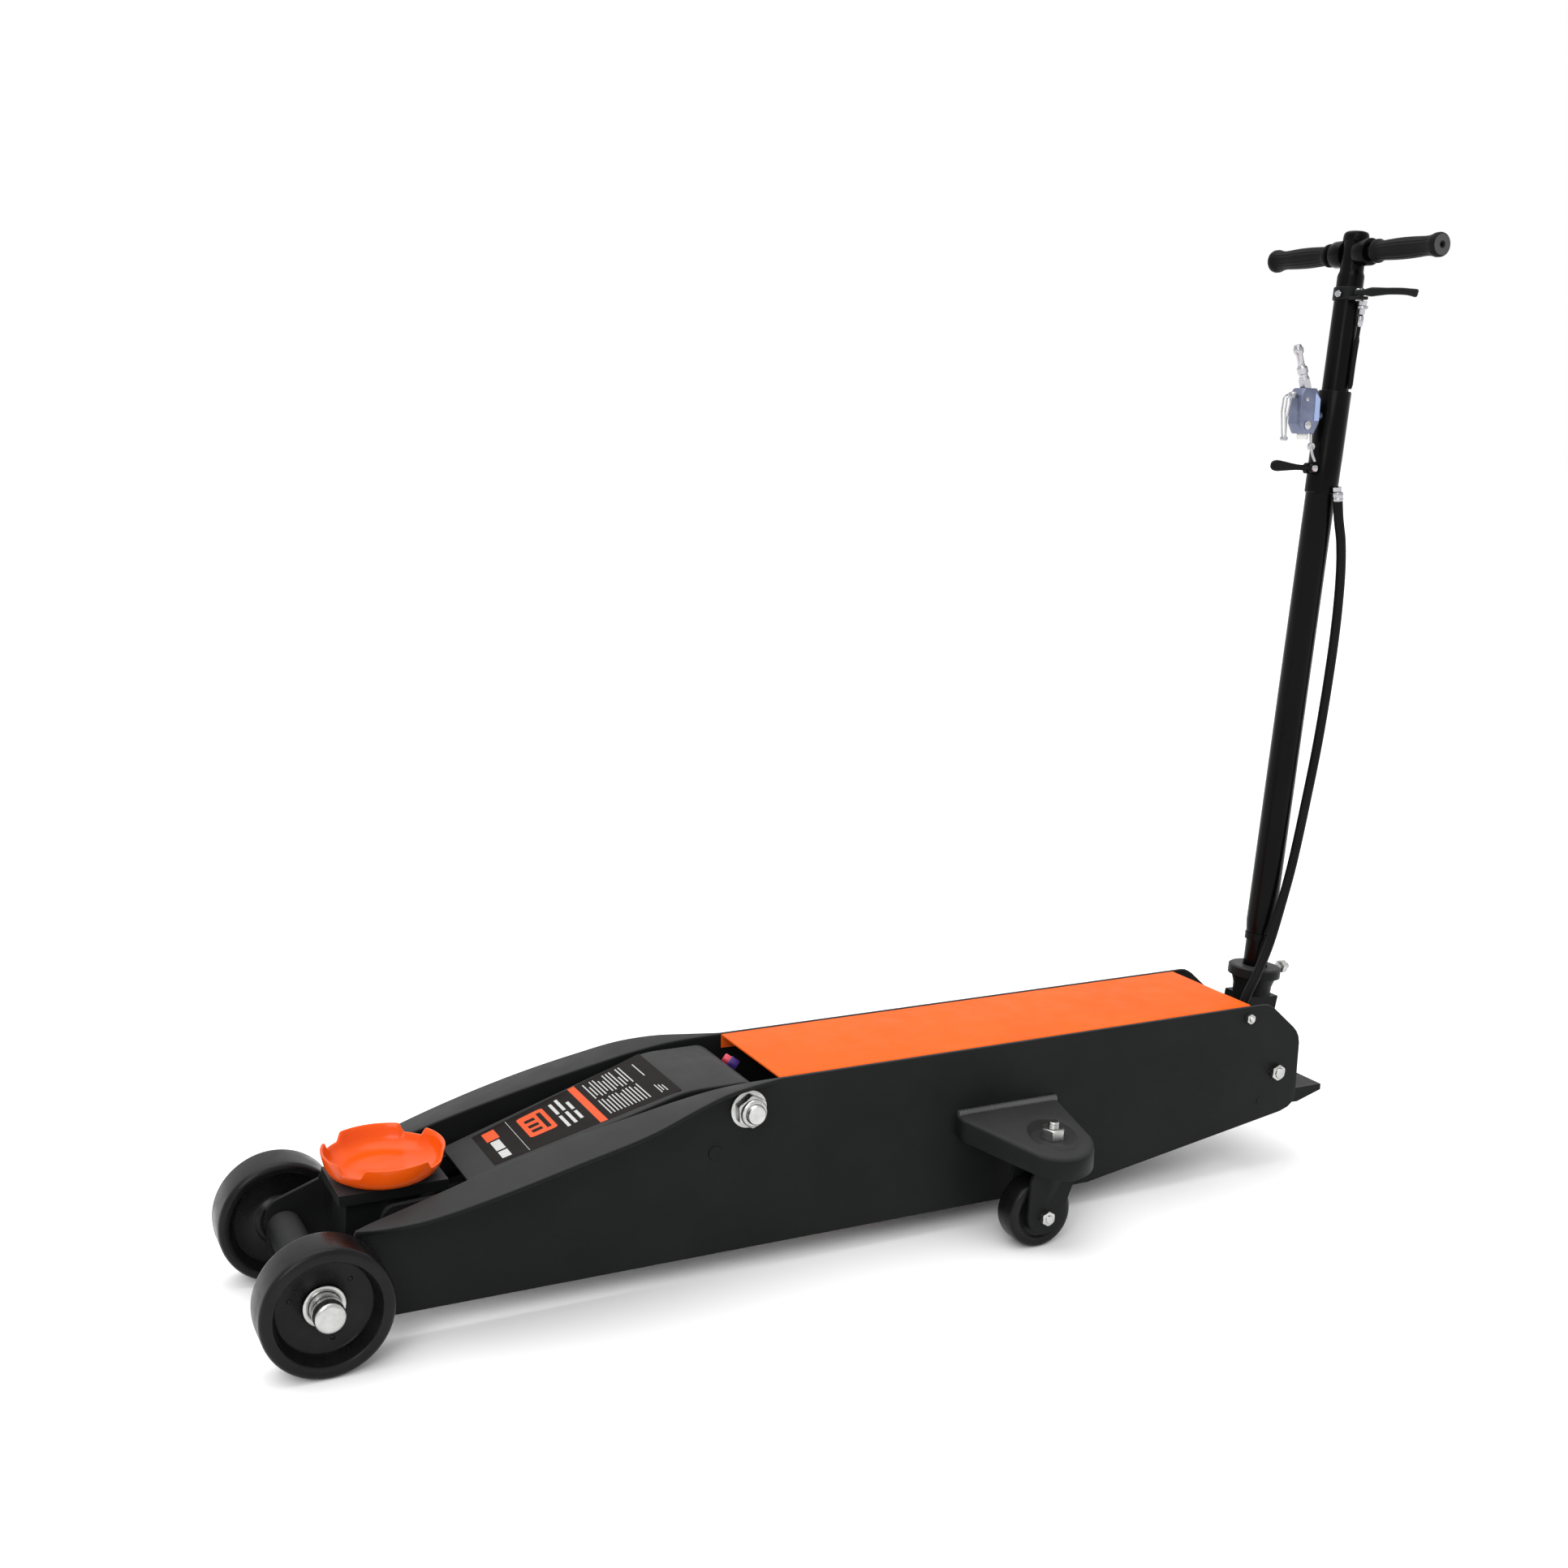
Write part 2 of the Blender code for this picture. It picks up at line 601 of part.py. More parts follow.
def arm_centre():
    """Sleeves on the pivot bolt, the crank that the ram pushes, and the saddle pin."""
    inner = ARM_PIVOT_R + BORE_GAP
    wide = ARM_SIDE_Y[0] - CRANK_HALF - 2 * GAP
    for side, name in ((-1, "arm_sleeve_left"), (1, "arm_sleeve_right")):
        bm = bmesh.new()
        profile = [(inner, 0), (19, 0), (19, wide), (inner, wide)]
        base = (ARM_PIVOT[0], side * (CRANK_HALF + GAP), ARM_PIVOT[1])
        lathe(bm, profile, base, (0, side, 0), 20, ring=True)
        finish(name, bm, arm_paint(), origin=joint_at(ARM_PIVOT))
    toe = (ARM_PIVOT[0] + CRANK_R * math.sin(CRANK_REST), ARM_PIVOT[1] - CRANK_R * math.cos(CRANK_REST))
    bm = bmesh.new()
    down = Vector((math.sin(CRANK_REST), -math.cos(CRANK_REST)))
    back = Vector((math.cos(CRANK_REST), math.sin(CRANK_REST)))
    # The rear side is hollowed between the toe and the boss, so that the ram's rim stays clear at full lift
    hollow = [Vector(ARM_PIVOT) + down * along + back * depth for along, depth in ((66, 4), (46, 5.5), (24, 14))]
    outline = arc(toe, CRANK_TOE_R, -155, 70, 8) + [tuple(point) for point in hollow]
    outline += arc(ARM_PIVOT, 19.5, 40, 205, 10)
    prism(bm, outline, -CRANK_HALF, CRANK_HALF)
    crank = finish("arm_crank", bm, arm_paint(), origin=joint_at(ARM_PIVOT))
    boolean(crank, bpy.data.objects["cut_arm_bores"])
    bm = bmesh.new()
    across(bm, SADDLE_PIN, SADDLE_PIN_R, -ARM_SIDE_Y[1] - 4, ARM_SIDE_Y[1] + 4, 20)
    finish("saddle_pin", bm, zinc(), origin=joint_at(SADDLE_PIN))


def saddle_carrier():
    front, rear = CARRIER_X
    low, high = CARRIER_Z
    body = arc(SADDLE_PIN, 19, -10, -70, 3) + arc(CARRIER_PIN, 14, -70, -190, 6)
    body += [(front + 12, low + 6), (rear - 18, low + 6)]
    bm = bmesh.new()
    prism(bm, body, -34, 34)
    made = finish("saddle_carrier", bm, black_paint(), origin=joint_at(SADDLE_PIN))
    bm = bmesh.new()
    block(bm, (front, rear), (-CARRIER_HALF, CARRIER_HALF), (low, high))
    boolean(made, as_cutter("weld_carrier", bm), "UNION")
    bm = bmesh.new()
    across(bm, SADDLE_PIN, SADDLE_PIN_R + BORE_GAP, -60, 60, 20)
    across(bm, CARRIER_PIN, CARRIER_PIN_R + BORE_GAP, -60, 60, 16)
    boolean(made, as_cutter("cut_carrier_pins", bm))
    bm = bmesh.new()
    cylinder(bm, 16.4, (SADDLE_X, 0, SADDLE_PIN[1] + 15), (SADDLE_X, 0, high + 5), 24)
    boolean(made, as_cutter("cut_saddle_socket", bm))
    bm = bmesh.new()
    across(bm, CARRIER_PIN, CARRIER_PIN_R, -LINK_Y[1] - 3, LINK_Y[1] + 3, 16)
    finish("link_pin", bm, zinc(), origin=joint_at(CARRIER_PIN))


def lobe_height(angle):
    """Four raised lobes with narrow notches between them."""
    nearest = abs((angle + math.pi / 4) % (math.pi / 2) - math.pi / 4)
    edge = math.radians(33)
    fade = math.radians(6)
    rise = min(max((edge + fade / 2 - nearest) / fade, 0.0), 1.0)
    return SADDLE_LOBE * rise * rise * (3 - 2 * rise)


def saddle():
    """Dished cup on a stem; its rim rises in four lobes."""
    rim = SADDLE_RIM_R
    floor = SADDLE_BASE_Z + 8
    profile = [(0, SADDLE_BASE_Z - 18, 0), (16, SADDLE_BASE_Z - 18, 0), (16, SADDLE_BASE_Z, 0), (50, SADDLE_BASE_Z, 0),
               (66, SADDLE_BASE_Z + 7, 0), (rim - 3, SADDLE_RIM_Z - 6, 0), (rim, SADDLE_RIM_Z, 1),
               (rim - 4, SADDLE_RIM_Z, 1), (rim - 9, SADDLE_RIM_Z - 8, 0), (48, floor, 0), (0, floor, 0)]
    segments = 60
    bm = bmesh.new()
    rows = []
    for radius, height, lobed in profile:
        count = 1 if radius == 0 else segments
        row = []
        for step in range(count):
            angle = math.tau * step / segments
            z = height + lobed * lobe_height(angle)
            flare = 1.0 + lobed * lobe_height(angle) * 0.0015
            x = SADDLE_X + radius * flare * math.cos(angle)
            row.append(bm.verts.new((x, radius * flare * math.sin(angle), z)))
        rows.append(row)
    for low, high in zip(rows, rows[1:]):
        for step in range(segments):
            after = (step + 1) % segments
            corners = [low[step % len(low)], low[after % len(low)], high[after % len(high)], high[step % len(high)]]
            bm.faces.new(list(dict.fromkeys(corners)))
    finish("saddle", bm, saddle_orange(), origin=(SADDLE_X, 0, SADDLE_BASE_Z), sharp=40)


def levelling_links():
    bores = bmesh.new()
    across(bores, LINK_PIVOT, LINK_PIVOT_R + BORE_GAP, -60, 60, 16)
    across(bores, CARRIER_PIN, CARRIER_PIN_R + BORE_GAP, -60, 60, 16)
    cutter = as_cutter("cut_link_bores", bores)
    for side, name in ((-1, "levelling_link_left"), (1, "levelling_link_right")):
        bm = bmesh.new()
        prism(bm, bar_outline(LINK_PIVOT, 15, CARRIER_PIN, 13), side * LINK_Y[0], side * LINK_Y[1])
        boolean(finish(name, bm, black_paint(), origin=joint_at(LINK_PIVOT)), cutter)


# ---------------------------------------------------------------- hydraulics
def hydraulics():
    half = PLATE_INNER - GAP
    bm = bmesh.new()
    start, end = CYLINDER_X
    profile = [(25, 0), (36, 0), (36, end - start), (0, end - start), (0, end - start - 15), (25, end - start - 15)]
    closed_lathe_to_axis(bm, profile, (start, 0, RAM_Z), (1, 0, 0), 24)
    finish("hydraulic_cylinder", bm, black_paint())
    bm = bmesh.new()
    profile = [(RAM_R + GAP, 0), (30, 0), (30, 22), (RAM_R + GAP, 22)]
    lathe(bm, profile, (start - 22 - GAP, 0, RAM_Z), (1, 0, 0), 24, ring=True)
    finish("cylinder_gland", bm, zinc())
    bm = bmesh.new()
    block(bm, (start - 18, start - 8), (-half, half), (62, 230))
    bulkhead = finish("cylinder_bulkhead", bm, black_paint())
    bm = bmesh.new()
    cylinder(bm, 30 + BORE_GAP, (start - 40, 0, RAM_Z), (start + 20, 0, RAM_Z), 24)
    boolean(bulkhead, as_cutter("cut_bulkhead", bm))
    bm = bmesh.new()
    profile = [(RAM_R - 1.5, 0), (RAM_R, 1.5), (RAM_R, 437), (24.6, 437), (24.6, 462)]
    lathe(bm, profile, (RAM_FACE_X, 0, RAM_Z), (1, 0, 0), 24)
    finish("ram", bm, chrome(), origin=(RAM_FACE_X, 0, RAM_Z))
    bm = bmesh.new()
    block(bm, PUMP_X, (-45, 45), (100, 194))
    pump = finish("pump_body", bm, black_paint())
    bm = bmesh.new()
    cylinder(bm, 18, (PUMP_X[1] - 20, 0, PLUNGER_Z + 2), (PUMP_X[1] + 34, 0, PLUNGER_Z + 2), 20)
    boolean(pump, as_cutter("weld_pump_barrel", bm), "UNION")
    bm = bmesh.new()
    cylinder(bm, PLUNGER_R + GAP, (PUMP_X[1] - 40, 0, PLUNGER_Z), (PUMP_X[1] + 60, 0, PLUNGER_Z), 20)
    boolean(pump, as_cutter("cut_pump_barrel", bm))
    bm = bmesh.new()
    face = HANDLE_PIVOT[0] - 10.0
    start_x = PUMP_X[1] + 2.0
    profile = [(PLUNGER_R, 0), (PLUNGER_R, face - 2 - start_x), (PLUNGER_R - 2, face - start_x)]
    lathe(bm, profile, (start_x, 0, PLUNGER_Z), (1, 0, 0), 20)
    finish("pump_plunger", bm, chrome(), origin=(start_x, 0, PLUNGER_Z))
    bm = bmesh.new()
    block(bm, (PUMP_X[0] + 5, PUMP_X[1] - 5), (-half, half), (90, 100 - GAP))
    finish("pump_base_plate", bm, black_paint())
    bm = bmesh.new()
    profile = [(12, 0), (17, 4), (17, 150), (12, 156), (9, 156), (9, 168)]
    lathe(bm, profile, (PUMP_X[0] + 10, -67, 150), (1, 0, 0), 20)
    finish("air_motor", bm, zinc())


def closed_lathe_to_axis(bm, profile, base, axis, segments):
    """Turn a closed outline of which two neighbouring points lie on the axis: a blind tube."""
    on_axis = [index for index, (radius, _) in enumerate(profile) if radius < 0.01]
    first = on_axis[-1]
    ordered = profile[first:] + profile[:first]
    lathe(bm, ordered, base, axis, segments)


def foot_pedal():
    """Bent tread with its own pin that turns in the left side plate."""
    outline = arc(PEDAL_PIVOT, 11, 80, 280, 8) + [(1478, 93), (1523, 106), (1523, 115), (1450, 115)]
    bm = bmesh.new()
    prism(bm, outline, -PLATE_INNER + 1.0, -36.0)
    pedal = finish("foot_pedal", bm, black_paint(), origin=joint_at(PEDAL_PIVOT))
    bm = bmesh.new()
    across(bm, PEDAL_PIVOT, PEDAL_PIVOT_R, -PLATE_OUTER - 1, -50.0, 12)
    boolean(pedal, as_cutter("weld_pedal_pin", bm), "UNION")


# ---------------------------------------------------------------- handle
def handle_point(z):
    """Point of the handle's axis at a height."""
    return HANDLE_FOOT + HANDLE_DIR * ((z - HANDLE_FOOT.z) / HANDLE_DIR.z)


def handle_socket():
    body = arc(HANDLE_PIVOT, 22, 100, 262, 8)
    lug = (HANDLE_PIVOT[0], PLUNGER_Z)
    body += arc(lug, 9, 200, 340, 6)
    body += [(1452, 150), (1478, 218), (1482, 240), (1430, 242), (1425, 215)]
    bm = bmesh.new()
    prism(bm, body, -28, 28)
    made = finish("handle_socket", bm, black_paint(), origin=joint_at(HANDLE_PIVOT))
    bm = bmesh.new()
    start = handle_point(228)
    profile = [(22, 0), (27, 6), (28, 26), (32, 39), (COLLAR_R, 41), (COLLAR_R, 54), (COLLAR_R - 3, 56)]
    lathe(bm, profile, start, HANDLE_DIR, 32)
    boolean(made, as_cutter("weld_socket_collar", bm), "UNION")
    bm = bmesh.new()
    cylinder(bm, 18 + GAP, handle_point(196), handle_point(320), 24)
    boolean(made, as_cutter("cut_socket_bore", bm))
    bm = bmesh.new()
    across(bm, HANDLE_PIVOT, HANDLE_PIVOT_R + BORE_GAP, -60, 60, 20)
    boolean(made, as_cutter("cut_socket_pivot", bm))
    bm = bmesh.new()
    height = 275.0
    start_x = handle_point(height).x + COLLAR_R + 0.5
    profile = [(5, 0), (5, 10), (10.5, 10), (10.5, 19), (5, 19), (5, 26)]
    lathe(bm, profile, (start_x, 0, height), (1, 0, 0), 12)
    finish("handle_clamp_bolt", bm, zinc(), origin=(start_x, 0, height))


def handle_tubes():
    low = 197.0
    join = 1137.0
    bm = bmesh.new()

    def along(z):
        return (z - low) / HANDLE_DIR.z
    profile = [(17.6, 0), (17.6, along(318)), (TUBE_R, along(350)), (TUBE_R, along(985)), (TUBE_R + 2, along(990)),
               (TUBE_R + 2, along(join - GAP))]
    lathe(bm, profile, handle_point(low), HANDLE_DIR, 24)
    finish("handle_tube", bm, tube_gloss(), origin=joint_at(HANDLE_PIVOT))
    bm = bmesh.new()
    x, y, z = HAND_LEVER_PIVOT
    block(bm, (x - 7, x + 14), (y + 4.8, y + 12), (z - 8, z + 8))
    union_of("handle_tube", bm)
    low = join
    bm = bmesh.new()
    profile = [(UPPER_R, 0), (UPPER_R, along(1296)), (NECK_R, along(1302)), (NECK_R, along(1344)), (18, along(1344)),
               (18, along(1353)), (14, along(1359))]
    lathe(bm, profile, handle_point(low), HANDLE_DIR, 24)
    upper = finish("handle_head", bm, tube_gloss(), origin=joint_at(HANDLE_PIVOT))
    centre = handle_point(T_BAR_Z)
    bm = bmesh.new()
    across(bm, (centre.x, T_BAR_Z), 10 + GAP, -60, 60, 20)
    boolean(upper, as_cutter("cut_t_bar", bm))
    bm = bmesh.new()
    across(bm, (centre.x, T_BAR_Z), 10, -T_BAR_END, T_BAR_END, 20)
    finish("t_bar", bm, tube_gloss(), origin=(centre.x, 0, T_BAR_Z))


def grips():
    centre = handle_point(T_BAR_Z)
    start, end = GRIP_Y
    inner = 10 + GAP
    reach = end - start
    profile = [(inner, 0), (16.5, 0), (16.5, 5), (13.8, 9), (GRIP_R, reach * 0.45), (14, reach - 14), (16.5, reach - 6),
               (15.5, reach), (0, reach), (0, T_BAR_END - start + GAP), (inner, T_BAR_END - start + GAP)]
    for side, name in ((-1, "grip_left"), (1, "grip_right")):
        bm = bmesh.new()
        closed_lathe_to_axis(bm, profile, (centre.x, side * start, T_BAR_Z), (0, side, 0), 20)
        finish(name, bm, rubber(), origin=(centre.x, side * start, T_BAR_Z))


def release_lever():
    """Clamp bracket with a bicycle-style lever under the left grip."""
    ring = handle_point(LEVER_PIVOT.z)
    bm = bmesh.new()
    lathe(bm, [(UPPER_R + GAP, -9), (UPPER_R + 4.5, -9), (UPPER_R + 4.5, 9), (UPPER_R + GAP, 9)], ring, HANDLE_DIR, 24,
          ring=True)
    made = finish("lever_bracket", bm, black_paint(), origin=ring)
    bm = bmesh.new()
    x, y, z = LEVER_PIVOT
    block(bm, (x - 9, x + 14), (y - 10, y + 7), (z - 9, z - 4 - GAP))
    boolean(made, as_cutter("weld_lever_bracket", bm), "UNION")
    bm = bmesh.new()
    outline = [(x - 9, y - 1), (x + 9, y - 1), (x + 13, y - 30), (x + 21, y - 62), (x + 24, y - 90), (x + 18, y - 94),
               (x + 9, y - 66), (x, y - 34), (x - 9, y - 12)]
    closed_loft(bm, [[(px, py, height) for px, py in outline] for height in (z - 4, z + 4)])
    finish("release_lever", bm, black_paint(), origin=LEVER_PIVOT)


def air_valve():
    """Air valve on a stand-off in front of the tube, its hose nipple and its thumb trigger."""
    bm = bmesh.new()
    outline = [(1454, 1090), (1462, 1076), (1482, 1076), (1490, 1090), (1490, 1126), (1482, 1140), (1454, 1140)]
    prism(bm, outline, -13, 13)
    made = finish("air_valve", bm, valve_grey(), origin=(1472, 0, 1108))
    bm = bmesh.new()
    block(bm, (1484, handle_point(1088).x - TUBE_R - 2.6), (-8, 8), (1090, 1112))
    lathe(bm, [(7, 0), (7, 22), (9.5, 22), (9.5, 44), (6, 44), (6, 70)], (1474, 0, 1134), (-0.36, 0, 1), 16)
    boolean(made, as_cutter("weld_air_valve", bm), "UNION")
    bm = bmesh.new()
    x, y, z = TRIGGER_PIVOT
    outline = arc((x, z), 4.7, 90, -80, 6)
    outline += [(x - 7, z - 30), (x - 6, z - 56), (x - 8, z - 66), (x - 14, z - 66), (x - 16, z - 58), (x - 15, z - 24),
                (x - 13, z + 2), (x - 10, z + 4.7)]
    prism(bm, outline, y - 5, y + 5)
    finish("valve_trigger", bm, chrome(), origin=TRIGGER_PIVOT)


def hand_lever():
    """Black lever with a drop-shaped grip that locks the head on the tube."""
    x, y, z = HAND_LEVER_PIVOT
    outline = [(x + 4, z + 4.5), (x - 6, z + 6.5), (x - 26, z + 9), (x - 50, z + 13), (x - 68, z + 12), (x - 76, z + 6),
               (x - 74, z - 1), (x - 60, z - 6), (x - 40, z - 5), (x - 16, z - 5), (x - 2, z - 6.5), (x + 4, z - 4.5)]
    bm = bmesh.new()
    prism(bm, outline, y - 4.5, y + 4.5)
    finish("hand_lever", bm, rubber(), origin=HAND_LEVER_PIVOT)


def smooth_route(points, spacing):
    """Evenly spaced points of the Catmull-Rom curve through hand-placed ones."""
    knots = [Vector(p) for p in points]
    padded = [knots[0] * 2 - knots[1]] + knots + [knots[-1] * 2 - knots[-2]]
    fine = []
    for a, b, c, d in zip(padded, padded[1:], padded[2:], padded[3:]):
        for step in range(16):
            t = step / 16
            fine.append(0.5 * (2 * b + (c - a) * t + (2 * a - 5 * b + 4 * c - d) * t**2
                               + (3 * b - 3 * c + d - a) * t**3))
    fine.append(knots[-1])
    lengths = np.cumsum([0.0] + [(q - p).length for p, q in zip(fine, fine[1:])])
    count = max(int(round(lengths[-1] / spacing)), 2)
    targets = np.linspace(0.0, lengths[-1], count + 1)
    columns = [np.interp(targets, lengths, [p[axis] for p in fine]) for axis in range(3)]
    return [Vector(p) for p in zip(*columns)]


def tube_along(name, points, radius, spacing, resolution, paint):
    curve = bpy.data.curves.new(name, "CURVE")
    curve.dimensions = "3D"
    curve.bevel_depth = radius * MM
    curve.bevel_resolution = resolution
    curve.use_fill_caps = True
    spline = curve.splines.new("POLY")
    route = smooth_route(points, spacing)
    spline.points.add(len(route) - 1)
    for slot, point in zip(spline.points, route):
        slot.co = (*((point - Vector((ORIGIN_X, 0, 0))) * MM), 1.0)
    made = bpy.data.objects.new(name, curve)
    made.data.materials.append(paint)
    bpy.context.scene.collection.objects.link(made)


HOSE_UPPER = [(1517, -31, 992), (1523, -31, 955), (1531, -31, 920), (1536, -30, 870), (1535, -30, 800),
              (1529, -30, 720), (1519, -30, 630), (1505, -30, 540), (1488, -31, 450), (1470, -33, 385),
              (1449, -38, 330), (1428, -41, 288), (1409, -41, 251), (1398, -41, 216), (1396, -41, 190),
              (1397.5, -41, 175.5)]
HOSE_LOWER = [(1397.8, -41, 172), (1395, -42, 160), (1384, -47, 151), (1360, -55, 149), (1328, -66, 150),
              (1300.0, -67, 150)]
RELEASE_CABLE = [(1540, -27, 1261), (1541, -24, 1245), (1539, -22, 1212), (1535.5, -21.5, 1175), (1533, -21.5, 1139.5)]


def cords():
    tube_along("hose_upper", HOSE_UPPER, HOSE_R, 27, 2, rubber())
    tube_along("hose_lower", HOSE_LOWER, HOSE_R, 18, 2, rubber())
    tube_along("release_cable", RELEASE_CABLE, 2.5, 14, 2, rubber())


def clear_scene():
    for old in list(bpy.data.objects):
        bpy.data.objects.remove(old, do_unlink=True)


clear_scene()
side_plates()
front_axle()
axle_washers()
front_wheels()
cross_shafts()
main_pivot()
deck_cover()
caster_brackets()
casters()
arm_top_plate()
arm_sides()
arm_centre()
saddle_carrier()
saddle()
levelling_links()
hydraulics()
foot_pedal()
handle_socket()
handle_tubes()
grips()
release_lever()
air_valve()
hand_lever()
cords()
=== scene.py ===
"""Looks of the long-chassis service jack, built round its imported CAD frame.

Layout lengths are millimetres: x from the front axle toward the handle, y from the centre plane
(left is -y), z from the floor. at() turns them into the frame's metres.
"""
import json
import math

import bmesh
import bpy
import numpy as np
from mathutils import Matrix, Vector


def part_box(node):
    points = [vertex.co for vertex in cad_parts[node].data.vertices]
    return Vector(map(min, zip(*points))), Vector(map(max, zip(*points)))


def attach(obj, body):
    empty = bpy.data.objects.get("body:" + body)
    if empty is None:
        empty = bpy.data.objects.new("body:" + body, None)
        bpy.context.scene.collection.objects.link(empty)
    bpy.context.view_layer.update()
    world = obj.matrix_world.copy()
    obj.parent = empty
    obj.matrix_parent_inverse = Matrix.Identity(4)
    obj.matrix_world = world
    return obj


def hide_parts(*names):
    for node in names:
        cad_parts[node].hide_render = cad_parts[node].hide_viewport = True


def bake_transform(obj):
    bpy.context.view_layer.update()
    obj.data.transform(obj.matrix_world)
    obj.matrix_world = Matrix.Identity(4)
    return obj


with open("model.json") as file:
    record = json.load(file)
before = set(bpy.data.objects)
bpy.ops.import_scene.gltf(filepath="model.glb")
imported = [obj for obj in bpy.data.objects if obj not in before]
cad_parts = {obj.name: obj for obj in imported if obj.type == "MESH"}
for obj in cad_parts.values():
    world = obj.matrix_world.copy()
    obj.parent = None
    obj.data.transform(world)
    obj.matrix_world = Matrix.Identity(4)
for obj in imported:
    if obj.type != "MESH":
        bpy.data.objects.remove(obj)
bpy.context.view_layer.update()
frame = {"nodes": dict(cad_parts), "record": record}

MM = 0.001
SIDES = ((-1, "left"), (1, "right"))


def middle(node):
    """Centre of a CAD node's box, in metres."""
    low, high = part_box(node)
    return (low + high) / 2


FRONT_AXLE = middle("front_axle")
ORIGIN_X = FRONT_AXLE.x


def at(x, y, z):
    return Vector((ORIGIN_X + x * MM, y * MM, z * MM))


def span(node):
    """A CAD node's lowest and highest corner in layout millimetres."""
    low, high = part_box(node)
    shift = Vector((ORIGIN_X, 0, 0))
    return (low - shift) / MM, (high - shift) / MM


# ---------------------------------------------------------------- camera and light
LENS = 41.23
CAMERA_PLACE = (-411.6, -2037.9, 1087.9)
CAMERA_YAW = 0.4166
CAMERA_PITCH = 0.1919
CAMERA_ROLL = 0.0115
CAMERA_SHIFT = (0.0704, -0.0109)


def add_camera():
    data = bpy.data.cameras.new("camera")
    data.lens = LENS
    data.sensor_width = 36.0
    data.shift_x, data.shift_y = CAMERA_SHIFT
    camera = bpy.data.objects.new("camera", data)
    ahead = Vector((math.sin(CAMERA_YAW) * math.cos(CAMERA_PITCH),
                    math.cos(CAMERA_YAW) * math.cos(CAMERA_PITCH), -math.sin(CAMERA_PITCH)))
    right = Vector((math.cos(CAMERA_YAW), -math.sin(CAMERA_YAW), 0))
    up = right.cross(ahead)
    rolled_right = right * math.cos(CAMERA_ROLL) + up * math.sin(CAMERA_ROLL)
    rolled_up = up * math.cos(CAMERA_ROLL) - right * math.sin(CAMERA_ROLL)
    turn = Matrix((rolled_right, rolled_up, -ahead)).transposed()
    camera.matrix_world = Matrix.Translation(at(*CAMERA_PLACE)) @ turn.to_4x4()
    bpy.context.scene.collection.objects.link(camera)
    bpy.context.scene.camera = camera


def add_light(name, place, target, size, power, colour=(1, 1, 1)):
    data = bpy.data.lights.new(name, "AREA")
    data.shape = "RECTANGLE"
    data.size, data.size_y = size
    data.energy = power
    data.color = colour
    light = bpy.data.objects.new(name, data)
    light.location = place
    light.rotation_euler = (Vector(target) - Vector(place)).to_track_quat("-Z", "Y").to_euler()
    bpy.context.scene.collection.objects.link(light)


def add_sun(name, toward, strength, angle):
    """A wide soft sun; toward points from the object to the light."""
    data = bpy.data.lights.new(name, "SUN")
    data.energy = strength
    data.angle = math.radians(angle)
    light = bpy.data.objects.new(name, data)
    light.rotation_euler = (-Vector(toward)).to_track_quat("-Z", "Y").to_euler()
    bpy.context.scene.collection.objects.link(light)


def add_studio():
    world = bpy.data.worlds.new("studio")
    world.use_nodes = True
    world.node_tree.nodes["Background"].inputs["Color"].default_value = (1.0, 1.0, 1.0, 1.0)
    world.node_tree.nodes["Background"].inputs["Strength"].default_value = 1.0
    bpy.context.scene.world = world
    bpy.context.scene.view_settings.view_transform = "Standard"
    add_sun("overhead", (-0.15, 0.2, 1.0), 1.5, 60)
    add_sun("front_left", (-0.8, -1.0, 1.1), 0.7, 30)
    add_light("window", (-2.4, -2.6, 2.2), (-0.3, 0, 0.2), (1.2, 1.2), 14)
    bm = bmesh.new()
    reach = 40.0
    bm.faces.new([bm.verts.new((x * reach, y * reach, -0.0005)) for x, y in ((-1, -1), (1, -1), (1, 1),
            (-1, 1))])
    mesh = bpy.data.meshes.new("floor")
    bm.to_mesh(mesh)
    bm.free()
    floor = bpy.data.objects.new("floor", mesh)
    bpy.context.scene.collection.objects.link(floor)
    floor.data.materials.append(floor_material())


# ---------------------------------------------------------------- materials
def shader_of(name):
    material = bpy.data.materials.new(name)
    material.use_nodes = True
    tree = material.node_tree
    return material, tree, tree.nodes["Principled BSDF"]


def node(tree, kind, **settings):
    made = tree.nodes.new("ShaderNode" + kind)
    for key, value in settings.items():
        if key in made.inputs:
            made.inputs[key].default_value = value
        else:
            setattr(made, key, value)
    return made


def noise(tree, scale, detail=3.0, stretch=(1, 1, 1)):
    """Noise over the piece's own coordinates, in metres; returns its factor socket."""
    place = node(tree, "TexCoord")
    mapping = node(tree, "Mapping")
    mapping.inputs["Scale"].default_value = stretch
    texture = node(tree, "TexNoise", Scale=scale, Detail=detail, Roughness=0.55)
    tree.links.new(place.outputs["Object"], mapping.inputs["Vector"])
    tree.links.new(mapping.outputs["Vector"], texture.inputs["Vector"])
    return texture.outputs["Fac"]


def remap(tree, socket, low, high, to_low, to_high):
    made = node(tree, "MapRange")
    for key, value in (("From Min", low), ("From Max", high), ("To Min", to_low), ("To Max", to_high)):
        made.inputs[key].default_value = value
    tree.links.new(socket, made.inputs["Value"])
    return made.outputs["Result"]


def mixed(tree, factor, first, second):
    made = node(tree, "Mix", data_type="RGBA")
    tree.links.new(factor, made.inputs["Factor"])
    for value, socket in ((first, made.inputs[6]), (second, made.inputs[7])):
        if isinstance(value, bpy.types.NodeSocket):
            tree.links.new(value, socket)
        else:
            socket.default_value = (*value, 1.0)
    return made.outputs[2]


